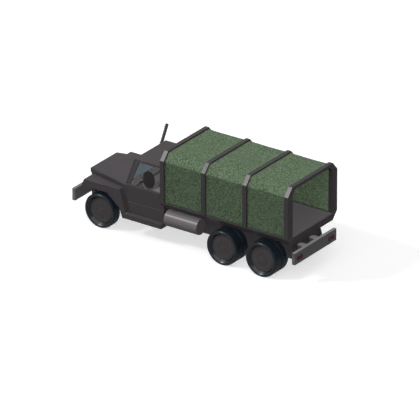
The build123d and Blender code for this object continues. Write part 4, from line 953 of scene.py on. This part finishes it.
def door_furniture():
    """A lever handle on its plate, a lock and two strap hinges for each door."""
    for side, sign in SIDES:
        def outside(x, out, z):
            """A point some way out from the door's face."""
            return x, sign * (DOOR_FACE_Y + out), z

        mesh = bmesh.new()
        block(mesh, outside(0.885, -0.001, 1.448), outside(0.955, 0.005, 1.496), 0.002)
        tube(mesh, outside(0.915, 0, 1.472), outside(0.915, 0.03, 1.472), 0.009, 12)
        tube(mesh, outside(0.908, 0.03, 1.472), outside(1.03, 0.033, 1.466), 0.0085, 12)
        lathe(mesh, [(0.01, 0.0), (0.01, 0.004), (0.006, 0.006)],
              along((0, sign, 0), outside(0.93, 0.004, 1.458)), 14)
        for z in HINGE_Z:
            block(mesh, outside(1.93, -0.001, z - 0.022), outside(2.062, 0.006, z + 0.022), 0.002)
            tube(mesh, outside(2.066, 0.008, z - 0.045), outside(2.066, 0.008, z + 0.045), 0.011, 14)
            for x in HINGE_BOLT_X:
                bolt(mesh, along((0, sign, 0), outside(x, 0.005, z)), 0.014, 0.006)
        piece(f"door_furniture_{side}", mesh, PAINT, f"door_{side}")


def hood_furniture():
    """Side latches, two rubber buffers at the nose and a stiffening bead each side of the top."""
    metal, beads = bmesh.new(), bmesh.new()
    low, high = extent(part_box("hood"))
    taper = math.atan2(HOOD_HALVES[0] - HOOD_HALVES[1], high.x - low.x)

    def turned(at, share):
        """A place turned by a share of the hood's taper."""
        return Matrix.Translation(at) @ Matrix.Rotation(-sign * taper * share, 4, "Z")

    for sign in SIGNS:
        for x in LATCH_X:
            y = HOOD_HALVES[1] + (high.x - x) * math.tan(taper)
            start = len(metal.verts)
            block(metal, (-0.02, -0.004, -0.04), (0.02, 0.006, 0.03), 0.002)
            block(metal, (-0.011, -0.004, -0.052), (0.011, 0.016, -0.03), 0.003)
            tube(metal, (-0.014, 0.01, 0.018), (0.014, 0.01, 0.018), 0.006, 10)
            moved(metal, start, turned((x, sign * y, LATCH_Z), 1))
        start = len(beads.verts)
        block(beads, (-BEAD_HALF, -0.009, 0), (BEAD_HALF, 0.009, 0.0035), 0.0015)
        moved(beads, start, turned((BEAD_AT[0], sign * BEAD_AT[1], high.z - 0.0005), 0.5))
    for y in (-0.09, 0.09):
        tube(metal, (high.x - 0.1, y, high.z - 0.004), (high.x - 0.1, y, high.z - 0.0005), 0.012, 12)
    piece("hood_latches", metal, BLACK, "hood")
    piece("hood_beads", beads, PAINT_EDGE, "hood")


def u_bolts(mesh, x, y, top, foot, apart):
    """Adds two upside-down U bolts across a spring, with their nuts below."""
    half, radius = U_BOLT
    for at in (x - apart, x + apart):
        for side in (y - half, y + half):
            tube(mesh, (at, side, foot), (at, side, top), radius, 10)
            bolt(mesh, along((0, 0, -1), (at, side, foot + 0.012)), radius * 3.2, 0.016)
        tube(mesh, (at, y - half, top), (at, y + half, top), radius, 10)


def axle_details():
    """U bolts with the plate under the front spring, dampers, leaf edges and bolted shaft covers."""
    iron, leaves = bmesh.new(), bmesh.new()
    axle_x = middle_of(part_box("front_axle"))[0]
    wheels = [middle_of(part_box(f"wheel_{axle}_left"))[0] for axle in AXLES[1:]]
    axle_z = middle_of(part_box("wheel_front_left"))[2]
    foot = axle_z - 0.085
    for sign in SIGNS:
        y = sign * SPRING_Y
        u_bolts(iron, axle_x, y, axle_z + 0.14, foot, 0.075)
        block(iron, (axle_x - 0.11, y - 0.065, axle_z - 0.082),
              (axle_x + 0.11, y + 0.065, axle_z - 0.062), 0.004)
        for x in wheels:
            u_bolts(iron, x, y, axle_z + 0.09, foot, 0.04)
        for i in range(SPRING_LEAVES):
            z = axle_z + 0.0565 + 0.0125 * i
            reach = 0.16 + 0.055 * i
            for edge in (y - LEAF_EDGE, y + LEAF_EDGE):
                block(leaves, (axle_x - reach, edge - 0.001, z), (axle_x + reach, edge + 0.001, z + 0.009), 0)
        tube(iron, (axle_x - 0.1, y - sign * 0.1, axle_z + 0.02),
             (axle_x - 0.17, y - sign * 0.075, axle_z + 0.4), 0.028)
    for x, way in ((axle_x, -1), (wheels[0], 1), (wheels[1], 1), (wheels[0], -1)):
        lathe(iron, SHAFT_COVER, along((way, 0, 0.06), (x + way * 0.13, 0, axle_z)), 36)
        count, circle = COVER_BOLTS
        for i in range(count):
            angle = 2 * math.pi * i / count
            at = (x + way * 0.152, circle * math.cos(angle), axle_z + circle * math.sin(angle))
            bolt(iron, along((way, 0, 0), at), 0.019, 0.012)
    piece("axle_details", iron, IRON)
    piece("spring_leaves", leaves, IRON)


def air_tanks():
    """Two brake air tanks inside each chassis rail, hung by bands."""
    mesh = bmesh.new()
    for sign in SIGNS:
        y = sign * TANK_Y
        for x in TANK_X:
            lathe(mesh, AIR_TANK, along((1, 0, 0), (x, y, TANK_Z)), 32)
            for at in (x - 0.07, x + 0.07):
                lathe(mesh, TANK_BAND, along((1, 0, 0), (at, y, TANK_Z)), 32, closed=True)
                block(mesh, (at - 0.012, y - 0.01, 0.735), (at + 0.012, y + 0.01, 0.8), 0.002)
    piece("air_tanks", mesh, CHASSIS, smooth=True)


def stack_clamps():
    """Clamps with their lugs on the exhaust stack."""
    mesh = bmesh.new()
    axis = Vector((-math.sin(STACK_LEAN), 0, math.cos(STACK_LEAN)))
    for up in CLAMPS_UP:
        at = Vector(STACK_FOOT) + axis * (up / math.cos(STACK_LEAN))
        lathe(mesh, CLAMP, along(axis, at), 36, closed=True)
        block(mesh, at + Vector((0.046, -0.006, -0.01)), at + Vector((0.072, 0.006, 0.014)), 0.002)
    piece("stack_clamps", mesh, STACK)


def wipers():
    """Two wiper arms with blades, laid low on the outside of the panes."""
    mesh = bmesh.new()
    slope = Vector(PANE_RUN).normalized()
    out = Vector((slope.z, 0, -slope.x))
    for sign in SIGNS:
        foot = Vector((PANE_FOOT[0], sign * WIPER_Y, PANE_FOOT[1])) + slope * 0.02 + out * 0.01
        tip = foot + slope * 0.1 + Vector((0, -sign * 0.4, 0))
        tube(mesh, foot - out * 0.012, foot + out * 0.012, 0.012, 14)
        tube(mesh, foot + out * 0.008, tip + out * 0.006, 0.0042, 10)
        blade = Vector((0, -sign * 0.23, 0)) + slope * 0.02
        tube(mesh, tip - blade * 0.9, tip + blade * 0.45, 0.0055, 8)
    piece("wipers", mesh, BLACK)


def bed_fittings():
    """Bolts at the feet of the bows, and the joints between the deck's boards."""
    bolts, joints = bmesh.new(), bmesh.new()
    for start in bow_starts:
        for sign in SIGNS:
            for x in (start + BOW_BOLT_IN, start + (BOW_WIDTH - BOW_BOLT_IN)):
                for z in BOW_BOLT_Z:
                    bolt(bolts, along((0, -sign, 0), (x, sign * BOW_FACE_Y, z)), 0.024, 0.011)
    low, high = extent(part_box("bed_floor"))
    for i in range(1, BOARDS):
        y = low.y + (high.y - low.y) * i / BOARDS
        block(joints, (low.x + 0.004, y - 0.0015, high.z - 0.0004),
              (high.x - 0.004, y + 0.0015, high.z + 0.0005), 0)
    piece("bow_bolts", bolts, BOW_EDGE)
    piece("deck_joints", joints, CHASSIS)


step_treads()
door_furniture()
hood_furniture()
axle_details()
air_tanks()
stack_clamps()
wipers()
bed_fittings()


# ---- camera, light, floor ----
VIEW_AZIMUTH = math.radians(35)  # camera behind the truck's left rear corner
VIEW_HEIGHT = math.radians(25)
FIELD = math.radians(3.0)
CAMERA_DISTANCE = 220.56
AIM = (-5.6506, 7.8587, 5.443)  # a point on the photograph's middle line of sight
KEY_FROM = (0.52, 0.50, 0.69)  # towards the key lamp, and towards its glint in shiny surfaces
FILL_FROM = (-0.225, 0.455, 0.862)
LAMPS = [  # name, direction, strength, spread in degrees, throws shadows, lights dull surfaces too
    ("key", KEY_FROM, 0.7, 5, True, True),
    ("glint", KEY_FROM, 4.4, 8, True, False),
    ("fill", FILL_FROM, 2.04, 50, False, True),
]
ZENITH = 0.20
HORIZON = 0.08
BOUNCE = 0.13  # floor's brightness as seen by the truck
FLOOR_GLOW = 0.25  # added to the floor where it is seen directly
FLOOR_HALF = 90.0


def make_camera():
    flat = math.cos(VIEW_HEIGHT)
    back = Vector((-math.sin(VIEW_AZIMUTH) * flat, math.cos(VIEW_AZIMUTH) * flat, math.sin(VIEW_HEIGHT)))
    data = bpy.data.cameras.new("camera")
    data.lens_unit = "FOV"
    data.angle = FIELD
    data.clip_start, data.clip_end = 1.0, 1000.0
    camera = show("camera", data)
    camera.location = Vector(AIM) + back * CAMERA_DISTANCE
    camera.rotation_mode = "QUATERNION"
    camera.rotation_quaternion = (-back).to_track_quat("-Z", "Y")
    bpy.context.scene.camera = camera


def seen_directly(tree):
    """1 for rays from the camera, a glossy surface or a pane, and 0 for light on the object."""
    path = add_node(tree, "LightPath")
    total = path["Is Camera Ray"]
    for name in ("Is Glossy Ray", "Is Transmission Ray"):
        total = add_node(tree, "Math", {0: total, 1: path[name]}, operation="MAXIMUM")[0]
    return total


def make_light():
    """The lamps, and a dim sky that is white where it is seen directly."""
    for name, direction, strength, spread, shadow, diffuse in LAMPS:
        lamp = bpy.data.lights.new(name, "SUN")
        lamp.energy = strength
        lamp.angle = math.radians(spread)
        lamp.use_shadow = shadow
        shown = show(name, lamp)
        shown.rotation_mode = "QUATERNION"
        shown.rotation_quaternion = Vector(direction).to_track_quat("Z", "Y")
        shown.visible_diffuse = diffuse
    world = bpy.data.worlds.new("studio")
    bpy.context.scene.world = world
    world.use_nodes = True
    tree = world.node_tree
    background = tree.nodes["Background"]
    background.inputs["Color"].default_value = (1, 1, 1, 1)
    place = add_node(tree, "TexCoord")["Generated"]
    up = add_node(tree, "SeparateXYZ", {"Vector": place})["Z"]
    sky = add_node(tree, "MapRange", {"Value": up, "To Min": HORIZON, "To Max": ZENITH})[0]
    strength = add_node(tree, "Mix", {0: seen_directly(tree), 2: sky, 3: 1.0})[0]
    tree.links.new(strength, background.inputs["Strength"])


def make_floor():
    """Plain white floor that keeps the shadow and throws little light back up."""
    material = bpy.data.materials.new("floor")
    material.use_nodes = True
    tree = material.node_tree
    tree.nodes.clear()
    bright = add_node(tree, "BsdfDiffuse", {"Color": (1, 1, 1, 1)})["BSDF"]
    glow = add_node(tree, "Emission", {"Strength": FLOOR_GLOW})["Emission"]
    direct = add_node(tree, "AddShader", {0: bright, 1: glow})["Shader"]
    dim = add_node(tree, "BsdfDiffuse", {"Color": (BOUNCE, BOUNCE, BOUNCE, 1)})["BSDF"]
    mix = add_node(tree, "MixShader", {0: seen_directly(tree), 1: dim, 2: direct})["Shader"]
    add_node(tree, "OutputMaterial", {"Surface": mix})
    mesh = bmesh.new()
    bmesh.ops.create_grid(mesh, x_segments=1, y_segments=1, size=FLOOR_HALF)
    floor = show("floor", as_mesh("floor", mesh, material))


make_camera()
make_light()
make_floor()
bpy.context.scene.view_settings.view_transform = "Standard"
